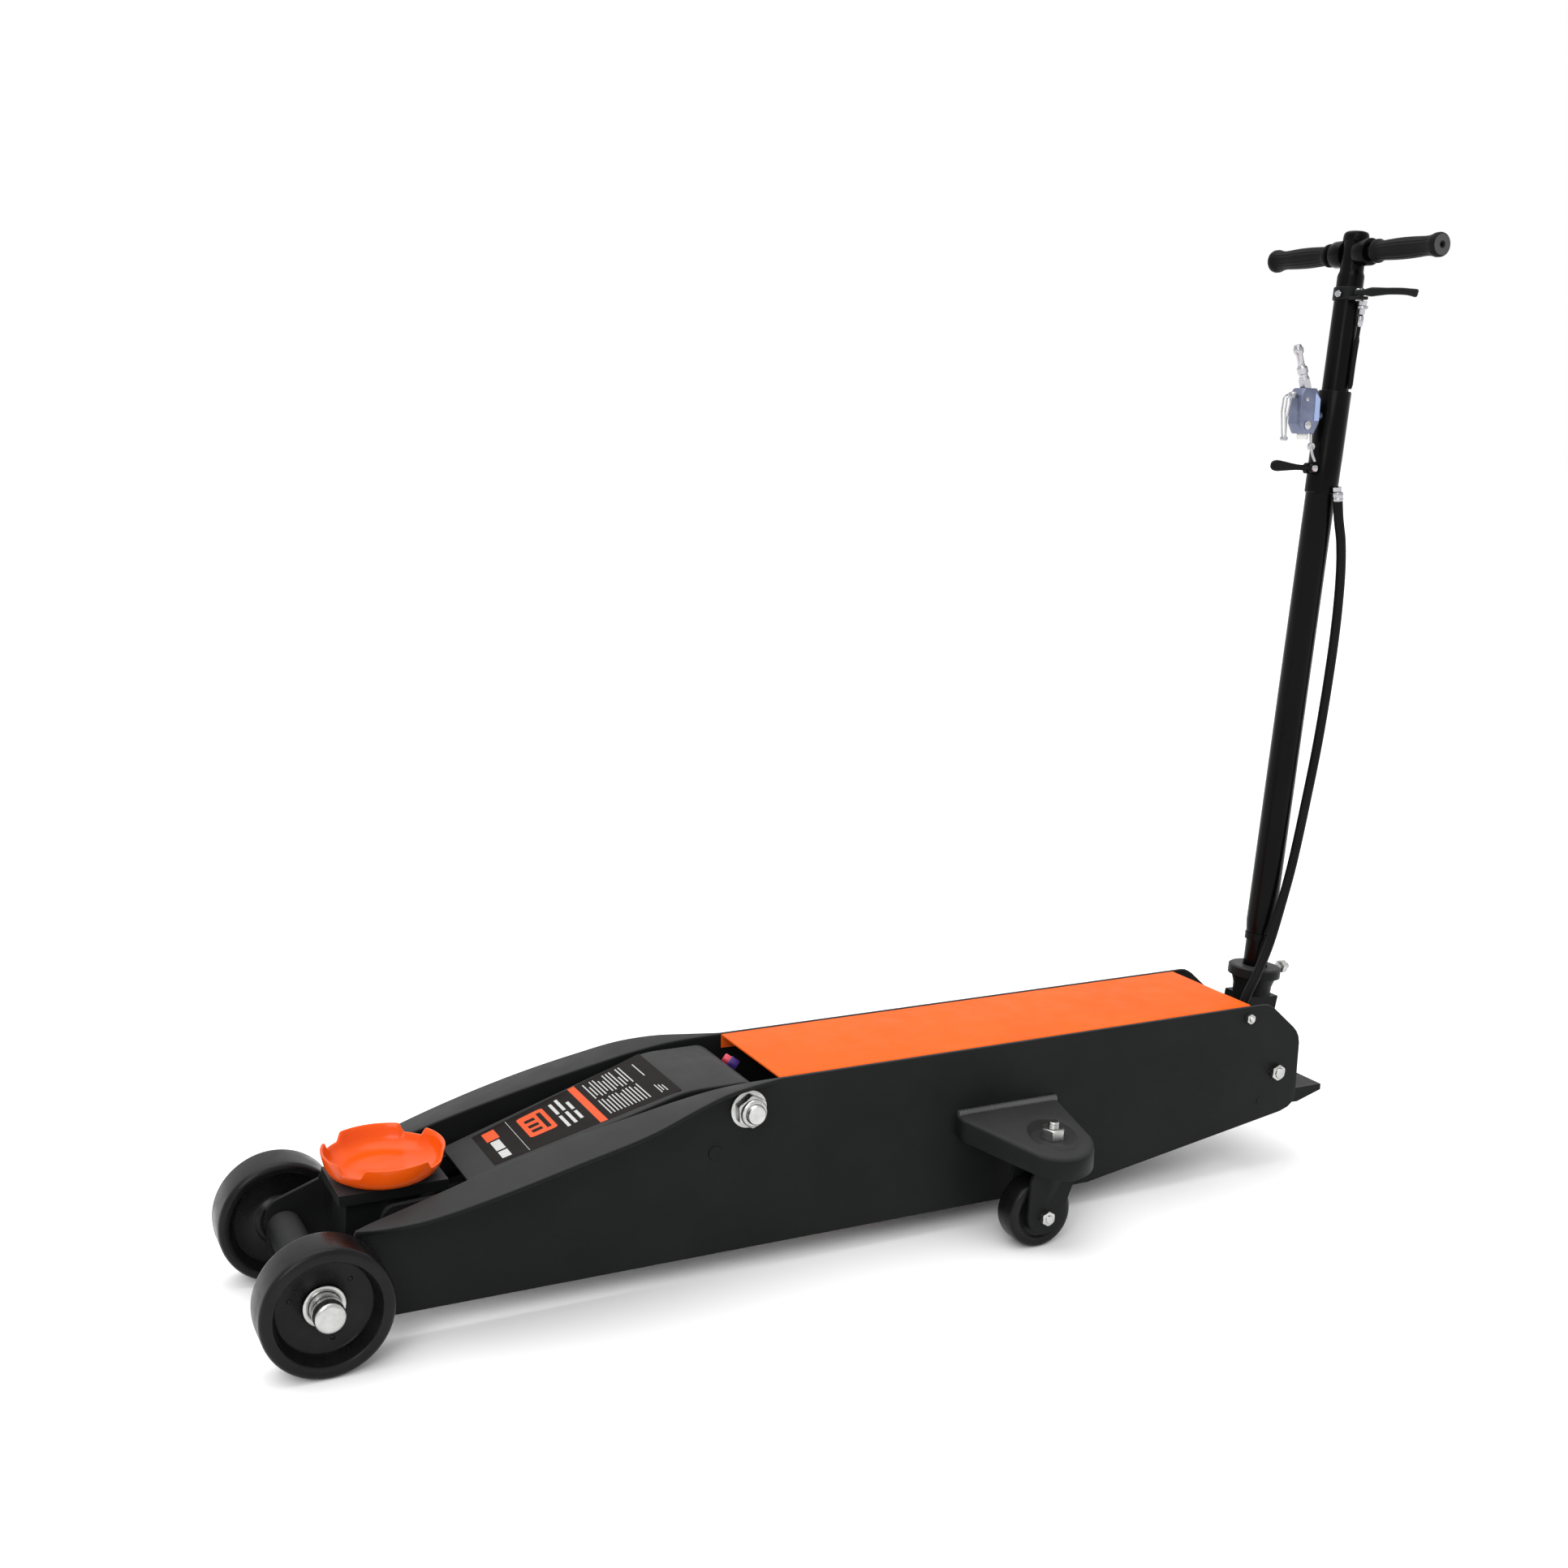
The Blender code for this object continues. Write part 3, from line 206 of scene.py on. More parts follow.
def edge_mask(tree, radius):
    """One along convex and concave edges, zero on flat stretches."""
    rounded = node(tree, "Bevel", samples=4, Radius=radius)
    geometry = node(tree, "NewGeometry")
    dot = node(tree, "VectorMath", operation="DOT_PRODUCT")
    tree.links.new(rounded.outputs["Normal"], dot.inputs[0])
    tree.links.new(geometry.outputs["Normal"], dot.inputs[1])
    return remap(tree, dot.outputs["Value"], 0.995, 0.8, 0.0, 1.0)


def facing_up(tree):
    """One on level faces, zero on steep ones, broken up a little: where the painted top light goes."""
    place = node(tree, "TexCoord")
    parts = node(tree, "SeparateXYZ")
    tree.links.new(place.outputs["Normal"], parts.inputs[0])
    level = remap(tree, parts.outputs["Z"], 0.35, 0.95, 0.0, 1.0)
    top_lit_share = node(tree, "Math", operation="MULTIPLY")
    tree.links.new(level, top_lit_share.inputs[0])
    tree.links.new(remap(tree, noise(tree, 18.0, 4.0), 0.3, 0.7, 0.8, 1.0), top_lit_share.inputs[1])
    return top_lit_share.outputs[0]


def finish_material(name, colour, shade, wear_and_highlight_colour, rough, metallic=0.0, specular=0.5, coat=0.0, grain=900.0,
                    bump=0.12, edge=0.0012, stretch=(1, 1, 1), edge_wear_and_highlight=0.5, patch=7.0, rough_spread=0.06,
                    top_light_colour=None):
    """Colour patches, edges lightened partly as wear and partly as painted edge highlight, uneven roughness
    and a fine surface relief.
    """
    material, tree, shader = shader_of(name)
    patches = remap(tree, noise(tree, patch, 4.0), 0.35, 0.65, 0.0, 1.0)
    base = mixed(tree, patches, colour, shade)
    # Level faces mixed toward a lighter colour: painted top light.
    if top_light_colour:
        base = mixed(tree, facing_up(tree), base, top_light_colour)
    # Lighter colour along convex and concave edges, broken by noise: partly edge wear, partly painted edge
    # highlight.
    edge_scuff_and_highlight = remap(tree, noise(tree, 160.0, 5.0), 0.42, 0.62, 0.0, edge_wear_and_highlight)
    edges = node(tree, "Math", operation="MULTIPLY")
    tree.links.new(edge_mask(tree, edge), edges.inputs[0])
    tree.links.new(edge_scuff_and_highlight, edges.inputs[1])
    tree.links.new(mixed(tree, edges.outputs[0], base, wear_and_highlight_colour), shader.inputs["Base Color"])
    smears = noise(tree, 34.0, 5.0, stretch)
    tree.links.new(remap(tree, smears, 0.3, 0.7, rough - rough_spread, rough + rough_spread),
                   shader.inputs["Roughness"])
    relief = node(tree, "Bump", Strength=bump, Distance=0.0004)
    rounding = node(tree, "Bevel", samples=4, Radius=0.0008)
    tree.links.new(noise(tree, grain, 2.0, stretch), relief.inputs["Height"])
    tree.links.new(rounding.outputs["Normal"], relief.inputs["Normal"])
    tree.links.new(relief.outputs["Normal"], shader.inputs["Normal"])
    shader.inputs["Metallic"].default_value = metallic
    shader.inputs["Specular IOR Level"].default_value = specular
    shader.inputs["Coat Weight"].default_value = coat
    shader.inputs["Coat Roughness"].default_value = 0.12
    return material


def floor_material():
    material, tree, shader = shader_of("floor_paper")
    tone = remap(tree, noise(tree, 1.5, 2.0), 0.3, 0.7, 0.0, 1.0)
    tree.links.new(mixed(tree, tone, (0.93, 0.93, 0.93), (0.92, 0.92, 0.92)), shader.inputs["Base Color"])
    shader.inputs["Roughness"].default_value = 0.9
    shader.inputs["Specular IOR Level"].default_value = 0.1
    return material


# The third colour of each finish is its edge colour: partly wear, partly painted edge highlight.
MATERIALS = {
    "body_black": finish_material("body_black_paint", (0.0068, 0.0074, 0.0072), (0.0092, 0.0098, 0.0096),
                                  (0.050, 0.050, 0.051), 0.42, specular=0.07, edge_wear_and_highlight=0.5,
                                  # lighter colour on level faces: painted top light
                                  top_light_colour=(0.034, 0.034, 0.035)),
    "arm_black": finish_material("arm_black_paint", (0.0100, 0.0100, 0.0106), (0.0130, 0.0130, 0.0136),
                                 (0.060, 0.060, 0.062), 0.44, specular=0.08, edge_wear_and_highlight=0.5,
                                 # lighter colour on level faces: painted top light
                                 top_light_colour=(0.033, 0.033, 0.034)),
    "deck_orange": finish_material("deck_orange_paint", (0.80, 0.112, 0.010), (0.75, 0.100, 0.008),
                                   (0.92, 0.26, 0.08), 0.46, specular=0.06, edge_wear_and_highlight=0.7, bump=0.08),
    "saddle_orange": finish_material("saddle_orange_paint", (0.70, 0.082, 0.0035), (0.62, 0.062, 0.003),
                                     (0.88, 0.22, 0.04), 0.22, specular=0.14, coat=0.05, edge_wear_and_highlight=0.5, bump=0.05),
    "wheel_iron": finish_material("wheel_cast", (0.0034, 0.0034, 0.0035), (0.0062, 0.0062, 0.0064),
                                  (0.045, 0.045, 0.045), 0.30, specular=0.16, grain=520.0, bump=0.3,
                                  patch=24.0, rough_spread=0.10),
    "zinc": finish_material("zinc_plate", (0.52, 0.52, 0.51), (0.40, 0.40, 0.39), (0.76, 0.76, 0.76), 0.26,
                            metallic=1.0, patch=60.0, grain=700.0, bump=0.12, edge=0.0006, rough_spread=0.1),
    "chrome": finish_material("chrome_plate", (0.44, 0.44, 0.46), (0.34, 0.34, 0.36), (0.70, 0.70, 0.72),
                              0.16, metallic=1.0, patch=40.0, grain=400.0, bump=0.05, edge=0.0005,
                              rough_spread=0.04),
    "tube_gloss": finish_material("tube_gloss_paint", (0.0014, 0.0014, 0.0014), (0.0022, 0.0022, 0.0022),
                                  (0.020, 0.020, 0.020), 0.22, specular=0.07, edge_wear_and_highlight=0.4, bump=0.05),
    "rubber": finish_material("black_rubber", (0.0034, 0.0034, 0.0036), (0.0052, 0.0052, 0.0054),
                              (0.022, 0.022, 0.022), 0.50, specular=0.08, grain=1600.0, bump=0.25),
    "valve_grey": finish_material("valve_anodised", (0.15, 0.17, 0.25), (0.11, 0.125, 0.19),
                                  (0.50, 0.55, 0.70), 0.30, metallic=0.75, edge=0.0007, patch=50.0,
                                  bump=0.08, edge_wear_and_highlight=0.9),
}
EXTRA = {
    "label_ground": finish_material("label_ground", (0.0050, 0.0026, 0.0026), (0.0065, 0.0034, 0.0034),
                                    (0.02, 0.015, 0.015), 0.36, specular=0.06, bump=0.03),
    "label_orange": finish_material("label_orange", (0.62, 0.072, 0.010), (0.56, 0.062, 0.008),
                                    (0.8, 0.2, 0.1), 0.4, specular=0.2, bump=0.03),
    "label_white": finish_material("label_white", (0.50, 0.50, 0.48), (0.42, 0.42, 0.41), (0.6, 0.6, 0.6),
                                   0.4, specular=0.2, bump=0.03),
    "plug_red": finish_material("plug_red", (0.62, 0.055, 0.085), (0.50, 0.04, 0.07), (0.8, 0.2, 0.2), 0.35,
                                specular=0.4),
    "plug_violet": finish_material("plug_violet", (0.045, 0.018, 0.16), (0.035, 0.014, 0.12),
                                   (0.2, 0.1, 0.3), 0.35, specular=0.4),
    # Weld bead a lighter grey than the black body: painted highlight on black paint.
    "weld": finish_material("weld_paint_painted_highlight", (0.040, 0.040, 0.041), (0.060, 0.060, 0.061),
                            (0.12, 0.12, 0.12), 0.32, specular=0.5, grain=420.0, bump=0.3),
    "valve_blue": finish_material("valve_blue_plate", (0.30, 0.38, 0.62), (0.24, 0.31, 0.52),
                                  (0.6, 0.7, 0.9), 0.3, specular=0.4),
    "fitting_white": finish_material("fitting_white", (0.70, 0.70, 0.68), (0.60, 0.60, 0.58),
                                     (0.8, 0.8, 0.8), 0.4),
    "end_cap": finish_material("grip_end_grey", (0.040, 0.040, 0.041), (0.052, 0.052, 0.053),
                               (0.08, 0.08, 0.08), 0.6, specular=0.2),
}


# ---------------------------------------------------------------- mesh helpers
def loft(bm, loops, caps=True):
    """Skin equal closed loops of layout points; the end loops are filled."""
    rows = [[bm.verts.new(at(*point)) for point in loop] for loop in loops]
    count = len(rows[0])
    for near, far in zip(rows, rows[1:]):
        for index in range(count):
            after = (index + 1) % count
            bm.faces.new((near[index], near[after], far[after], far[index]))
    if caps:
        bm.faces.new(rows[0])
        bm.faces.new(rows[-1])
    else:
        for index in range(count):
            after = (index + 1) % count
            bm.faces.new((rows[-1][index], rows[-1][after], rows[0][after], rows[0][index]))


def frame_of(axis):
    axis = Vector(axis).normalized()
    side = axis.orthogonal().normalized()
    return axis, side, axis.cross(side)


def lathe(bm, profile, base, axis, segments=64, ring=False, radius_at=None):
    """Turn (radius, along) points about an axis; radius_at(radius, along, angle) may shape them."""
    axis, side, other = frame_of(axis)
    rows = []
    for radius, along in profile:
        row = []
        for step in range(segments if radius > 0.01 else 1):
            angle = math.tau * step / segments
            wide, deep = radius_at(radius, along, angle) if radius_at else (radius, along)
            point = Vector(base) + axis * deep + (side * math.cos(angle) + other * math.sin(angle)) * wide
            row.append(bm.verts.new(at(*point)))
        rows.append(row)
    pairs = list(zip(rows, rows[1:])) + ([(rows[-1], rows[0])] if ring else [])
    for low, high in pairs:
        for step in range(segments):
            after = (step + 1) % segments
            corners = (low[step % len(low)], low[after % len(low)], high[after % len(high)],
                       high[step % len(high)])
            unique = list(dict.fromkeys(corners))
            if len(unique) > 2:
                bm.faces.new(unique)
    if not ring:
        for row in (rows[0], rows[-1]):
            if len(row) > 1:
                bm.faces.new(row)


def rounded(points, radii, steps=4, closed=True):
    """A 2D outline with its corners rounded; radii is one number or one per corner."""
    count = len(points)
    result = []
    for index, corner in enumerate(points):
        here = Vector(corner)
        radius = radii if isinstance(radii, (int, float)) else radii[index]
        if not closed and index in (0, count - 1):
            result.append(tuple(here))
            continue
        back = Vector(points[index - 1]) - here
        ahead = Vector(points[(index + 1) % count]) - here
        if back.length < 1e-6 or ahead.length < 1e-6:
            result += [tuple(here)] * (steps + 1)
            continue
        half = back.angle(ahead, math.pi) / 2
        cut = min(radius / max(math.tan(half), 0.05), back.length * 0.45, ahead.length * 0.45)
        start, end = here + back.normalized() * cut, here + ahead.normalized() * cut
        for step in range(steps + 1):
            t = step / steps
            result.append(tuple(start * (1 - t) ** 2 + here * 2 * t * (1 - t) + end * t * t))
    return result


def arc(centre, radius, start_deg, end_deg, steps):
    angles = [math.radians(start_deg + (end_deg - start_deg) * k / steps) for k in range(steps + 1)]
    return [(centre[0] + radius * math.cos(a), centre[1] + radius * math.sin(a)) for a in angles]


def smooth_route(points, spacing):
    """Evenly spaced points of the Catmull-Rom curve through given ones."""
    knots = [Vector(p) for p in points]
    padded = [knots[0] * 2 - knots[1]] + knots + [knots[-1] * 2 - knots[-2]]
    fine = []
    for a, b, c, d in zip(padded, padded[1:], padded[2:], padded[3:]):
        for step in range(16):
            t = step / 16
            fine.append(0.5 * (2 * b + (c - a) * t + (2 * a - 5 * b + 4 * c - d) * t**2
                               + (3 * b - 3 * c + d - a) * t**3))
    fine.append(knots[-1])
    lengths = np.cumsum([0.0] + [(q - p).length for p, q in zip(fine, fine[1:])])
    targets = np.linspace(0.0, lengths[-1], max(int(round(lengths[-1] / spacing)), 2) + 1)
    return [Vector(p) for p in zip(*[np.interp(targets, lengths, [p[k] for p in fine]) for k in range(3)])]


def sweep(bm, route, radius, segments=16, ends=True):
    """A round tube along layout points; radius is a number or a function of the share of its length."""
    rows = []
    normal = (route[1] - route[0]).orthogonal().normalized()
    last = len(route) - 1
    for index, point in enumerate(route):
        ahead = (route[min(index + 1, last)] - route[max(index - 1, 0)]).normalized()
        normal = (normal - ahead * normal.dot(ahead)).normalized()
        other = ahead.cross(normal)
        wide = radius(index / last) if callable(radius) else radius
        rows.append([bm.verts.new(at(*(point + (normal * math.cos(a) + other * math.sin(a)) * wide)))
                     for a in (math.tau * step / segments for step in range(segments))])
    for near, far in zip(rows, rows[1:]):
        for step in range(segments):
            after = (step + 1) % segments
            bm.faces.new((near[step], near[after], far[after], far[step]))
    if ends:
        bm.faces.new(rows[0])
        bm.faces.new(rows[-1])


def hex_head(bm, base, axis, across_flats, height, bore=0.0, both=False, turn=0.0, dome=0.0):
    """Hexagon with chamfered corners; the bore is left open where it has one."""
    segments = 48
    flat = across_flats / 2
    chamfer = flat * 0.97

    def shape(radius, along, angle):
        if radius < flat:
            return radius, along
        folded = (angle + turn) % (math.pi / 3) - math.pi / 6
        wide = flat / math.cos(folded)
        drop = max(wide - chamfer, 0) * 0.55
        if along > height * 0.5:
            return wide, along - drop
        return wide, along + (drop if both else 0)
    start = [(bore, 0), (chamfer, 0)] if bore else [(0, 0), (chamfer, 0)]
    top = [(chamfer, height), (bore, height)] if bore else [(chamfer, height),
                                                            (chamfer * 0.4, height + dome),
                                                            (0, height + dome)]
    profile = start + [(flat + 0.01, 0.01), (flat + 0.01, height)] + top
    lathe(bm, profile, base, axis, segments, ring=bool(bore), radius_at=shape)


def threaded(radius, length, pitch=1.5, tip=1.2):
    """Profile of a threaded stub, from its root to its chamfered tip."""
    profile = [(0, 0), (radius - 0.5, 0)]
    place = 0.0
    while place < length - tip - pitch:
        profile += [(radius - 0.75, place + pitch * 0.2), (radius, place + pitch * 0.6)]
        place += pitch
    return profile + [(radius - 0.2, length - tip), (radius - tip, length), (0, length)]


def piece(name, bm, body, slot=None, material=None, replaces=(), bevel=0.0, sharp=38.0, subdivide=0):
    """Link a finished mesh, give it its material and let it ride on its body."""
    bmesh.ops.remove_doubles(bm, verts=bm.verts, dist=1e-6)
    bmesh.ops.dissolve_degenerate(bm, edges=bm.edges, dist=1e-6)
    bmesh.ops.recalc_face_normals(bm, faces=bm.faces)
    mesh = bpy.data.meshes.new(name)
    bm.to_mesh(mesh)
    bm.free()
    mesh.shade_smooth()
    mesh.set_sharp_from_angle(angle=math.radians(sharp))
    made = bpy.data.objects.new(name, mesh)
    bpy.context.scene.collection.objects.link(made)
    made.data.materials.append(material or MATERIALS[slot])
    if subdivide:
        modifier = made.modifiers.new("smooth", "SUBSURF")
        modifier.levels = modifier.render_levels = subdivide
    if bevel:
        modifier = made.modifiers.new("edges", "BEVEL")
        modifier.width = bevel * MM
        modifier.segments = 2
        modifier.limit_method = "ANGLE"
        modifier.angle_limit = math.radians(sharp)
        modifier.harden_normals = True
    if body:
        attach(made, body)
    if replaces:
        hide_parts(*replaces)
    return made


NODE_BODY = {name: body for body, names in frame["record"]["behaviour"]["bodies"].items() for name in names}
NODE_SLOT = {row["node"]: row["material_slot"] for row in frame["record"]["subparts"]}


def refined(name, width=0.8, new_name=None):
    """A CAD node's own shape with real rounded edges."""
    bm = bmesh.new()
    bm.from_mesh(frame["nodes"][name].data)
    bmesh.ops.remove_doubles(bm, verts=bm.verts, dist=2e-5)
    bmesh.ops.dissolve_limit(bm, angle_limit=math.radians(1.0), verts=bm.verts, edges=bm.edges)
    return piece(new_name or name + "_shape", bm, NODE_BODY[name], NODE_SLOT[name], replaces=(name,),
                 bevel=width, sharp=34.0)


def drill(target, places, radius, reach=110.0):
    """Bore round holes across the width through a finished piece's mesh."""
    bm = bmesh.new()
    for x, z in places:
        lathe(bm, [(radius, 0), (radius, 2 * reach)], (x, -reach, z), (0, 1, 0), 48)
    mesh = bpy.data.meshes.new("drill")
    bmesh.ops.recalc_face_normals(bm, faces=bm.faces)
    bm.to_mesh(mesh)
    bm.free()
    tool = bpy.data.objects.new("drill", mesh)
    bpy.context.scene.collection.objects.link(tool)
    modifier = target.modifiers.new("bore", "BOOLEAN")
    modifier.operation, modifier.solver, modifier.object = "DIFFERENCE", "EXACT", tool
    with bpy.context.temp_override(object=target, active_object=target, selected_objects=[target]):
        bpy.ops.object.modifier_move_to_index(modifier="bore", index=0)
        bpy.ops.object.modifier_apply(modifier="bore")
    bpy.data.objects.remove(tool, do_unlink=True)


# ---------------------------------------------------------------- chassis
PLATE_TOP_LINE = [(-22, 108), (-13, 118), (45, 139), (47.9, 146), (600, 257), (1397, 257), (1404, 255.8),
                  (1410, 253), (1416, 249.2), (1455, 215.6), (1461, 209), (1465, 201.5), (1467, 192)]
PLATE_BOTTOM_LINE = [(1097, 31.4), (1440.7, 85.8), (1455, 90.8), (1461, 95.5), (1465, 102), (1467, 110)]
LIP_ROWS = [
    (48, 146.5, 146.5, 0), (62, 151.5, 151, 13), (90, 159.5, 157, 27), (120, 168, 163, 37),
    (155, 178, 172, 45), (200, 191, 184, 51), (300, 215, 210, 56), (410, 237.5, 235, 52),
    (475, 249, 251, 38), (520, 254.5, 257, 24), (560, 256.5, 257.5, 12), (605, 257, 257, 0)]
LIP_THICK = 6.0
NOSE_RADIUS = 22.0
PLATE_INNER = 89.0
PLATE_OUTER = 95.0


def smooth_rows(rows, x):
    """Smooth values of the rows' columns at a station x."""
    table = np.array(rows, float)
    xs = table[:, 0]
    slopes = np.gradient(table[:, 1:], xs, axis=0)
    k = min(max(int(np.searchsorted(xs, x)) - 1, 0), len(xs) - 2)
    gap = xs[k + 1] - xs[k]
    t = (x - xs[k]) / gap
    return ((2 * t**3 - 3 * t**2 + 1) * table[k, 1:] + (t**3 - 2 * t**2 + t) * gap * slopes[k]
            + (3 * t**2 - 2 * t**3) * table[k + 1, 1:] + (t**3 - t**2) * gap * slopes[k + 1])


def plate_section(x, side):
    """Rounded loop across one side plate and its lip."""
    bottom = float(np.interp(x, *zip(*PLATE_BOTTOM_LINE)))
    if x < 0:
        bottom += NOSE_RADIUS - math.sqrt(max(NOSE_RADIUS**2 - x * x, 0.0)) * 0.999
    bend = float(np.interp(x, *zip(*PLATE_TOP_LINE)))
    rim, width = bend, 0.0
    if LIP_ROWS[0][0] <= x <= LIP_ROWS[-1][0]:
        bend, rim, width = smooth_rows(LIP_ROWS, x)
    out = PLATE_OUTER + max(width, 0.0)
    points = [(PLATE_INNER, bottom), (PLATE_OUTER, bottom), (PLATE_OUTER, bend - LIP_THICK),
              (out, rim - LIP_THICK), (out, rim), (PLATE_INNER, bend)]
    outline = rounded(points, [1.2, 1.6, 7.0, 2.2, 2.6, 3.4], 4)
    return [(x, side * y, z) for y, z in outline]


def side_plates():
    nose = [-22, -21.5, -20, -17.5, -15, -11, -6, 0, 20, 45]
    lip = list(np.linspace(48, 120, 19)) + list(np.linspace(126, 440, 46)) + list(np.linspace(446, 605, 40))
    rear = [1097, 1390, 1397, 1400.5, 1404, 1407, 1410, 1413, 1416, 1430, 1440.7, 1448, 1455, 1458, 1461,
            1463, 1465, 1466, 1467]
    for side, name in SIDES:
        bm = bmesh.new()
        loft(bm, [plate_section(x, side) for x in nose + lip + rear])
        plate = piece("chassis_plate_" + name, bm, "chassis", "body_black",
                      replaces=("side_plate_" + name,), bevel=1.0)
        shafts = [("link_pivot_shaft", 9.3), ("main_pivot_bolt", 13.3)]
        for shaft, radius in shafts:
            centre = span(shaft)
            drill(plate, [((centre[0].x + centre[1].x) / 2, (centre[0].z + centre[1].z) / 2)], radius)


def front_wheels():
    low, high = span("front_wheel_left")
    radius = (high.z - low.z) / 2
    centre_z = (high.z + low.z) / 2
    wide = high.y - low.y
    bore = 19.4
    hub = wide - 8
    profile = [(radius, 8), (radius - 0.3, 5), (radius - 1.6, 2.4), (radius - 4, 0.6), (radius - 7, 0),
               (65.8, 0), (64.4, 0.7), (63.3, 2.6), (58.6, 23), (57, 25.2), (54, 26), (bore + 0.8, 26),
               (bore, 26.8), (bore, hub - 0.8), (bore + 0.8, hub), (27.4, hub), (29, hub - 0.6),
               (32, wide - 12.6), (35, wide - 14), (57, wide - 14), (60, wide - 13), (66, wide - 1.4),
               (68, wide), (radius - 4, wide), (radius - 1.6, wide - 2.4), (radius - 0.3, wide - 5),
               (radius, wide - 8)]
    for side, name in SIDES:
        outer = (0, side * max(abs(high.y), abs(low.y)), centre_z)
        bm = bmesh.new()
        lathe(bm, profile, outer, (0, -side, 0), 128, ring=True)
        bumps = [(0.0, 0), (3.2, 0.0), (3.0, 0.7), (2.2, 1.2), (0.0, 1.4)]
        for quarter in range(3):
            angle = math.tau * (quarter + 0.35) / 3
            spot = (42 * math.cos(angle), outer[1] - side * 26.2, centre_z + 42 * math.sin(angle))
            lathe(bm, bumps, spot, (0, side, 0), 16)
        piece("road_wheel_" + name, bm, name + "_front_wheel", "wheel_iron",
              replaces=("front_wheel_" + name,), sharp=50)
        washer = span("axle_washer_" + name)
        start = min(abs(washer[0].y), abs(washer[1].y))
        bm = bmesh.new()
        lathe(bm, [(19.4, 0), (24.8, 0), (25.5, 0.7), (25.5, 2.8), (24.6, 3.5), (20.2, 3.5), (19.4, 2.9)],
              (0, side * start, centre_z), (0, side, 0), 64, ring=True)
        piece("axle_ring_" + name, bm, "chassis", "zinc", replaces=("axle_washer_" + name,))
    low, high = span("front_axle")
    reach = high.y
    bm = bmesh.new()
    end = [(0, 0), (13.5, 0), (15.8, 0.5), (17.6, 1.7), (18.7, 3.4), (19, 5.2), (19, 14.2), (17.6, 14.6),
           (17.6, 16.6), (19, 17.0)]
    profile = end + [(r, 2 * reach - along) for r, along in reversed(end)]
    lathe(bm, profile, (0, -reach, centre_z), (0, 1, 0), 64)
    piece("axle_bar", bm, "chassis", "zinc", replaces=("front_axle",))


def pivot_bolts():
    low, high = span("main_pivot_nut")
    x, z = (low.x + high.x) / 2, (low.z + high.z) / 2
    seat = high.y
    bm = bmesh.new()
    lathe(bm, [(13.4, 0), (24.2, 0), (25, 0.6), (25, 2.8), (24.2, 3.4), (13.4, 3.4)], (x, seat, z),
          (0, -1, 0), 64, ring=True)
    hex_head(bm, (x, seat - 3.5, z), (0, -1, 0), 38.5, 12.5, bore=13.4, turn=0.2)
    lathe(bm, [(13.4, 16.2), (18.2, 16.2), (18.2, 18.6), (17.4, 20.6), (15.4, 21.8), (13.4, 22)],
          (x, seat, z), (0, -1, 0), 64, ring=True)
    piece("pivot_lock_nut", bm, "chassis", "zinc", replaces=("main_pivot_nut",))
    low, high = span("main_pivot_bolt")
    bm = bmesh.new()
    stub = threaded(13.0, 34.0, 2.0, 1.6)
    lathe(bm, stub, (x, low.y + 34.0, z), (0, -1, 0), 48)
    lathe(bm, [(0, 0), (13, 0), (13, high.y - 16 - low.y - 34.0), (0, high.y - 16 - low.y - 34.0)],
          (x, low.y + 34.0, z), (0, 1, 0), 48)
    hex_head(bm, (x, high.y - 16, z), (0, 1, 0), 39.8, 16)
    piece("pivot_long_bolt", bm, "chassis", "zinc", replaces=("main_pivot_bolt",))
    for node_name, new_name, flats, stub_r, head in (("rear_tie_bolt", "tie_rod_ends", 13.4, 5.5, 6.0),
                                                     ("handle_pivot_bolt", "socket_pivot_rod", 21.6, 10.0,
                                                      8.0)):
        low, high = span(node_name)
        x, z = (low.x + high.x) / 2, (low.z + high.z) / 2
        bm = bmesh.new()
        lathe(bm, [(0, 0), (stub_r, 0), (stub_r, 2 * PLATE_OUTER), (0, 2 * PLATE_OUTER)],
              (x, -PLATE_OUTER, z), (0, 1, 0), 48)
        for side in (-1, 1):
            hex_head(bm, (x, side * (PLATE_OUTER + 0.3), z), (0, side, 0), flats, head, turn=0.35, dome=0.8)
        tip = -low.y - PLATE_OUTER - 0.3 - head
        lathe(bm, threaded(stub_r * 0.8, tip + 1.2, 1.2, 0.8), (x, low.y + tip + 1.2, z), (0, -1, 0), 32)
        piece(new_name, bm, "chassis", "zinc", replaces=(node_name,))


PLUG_AXIS = (-0.8, 0.5, 0.6)


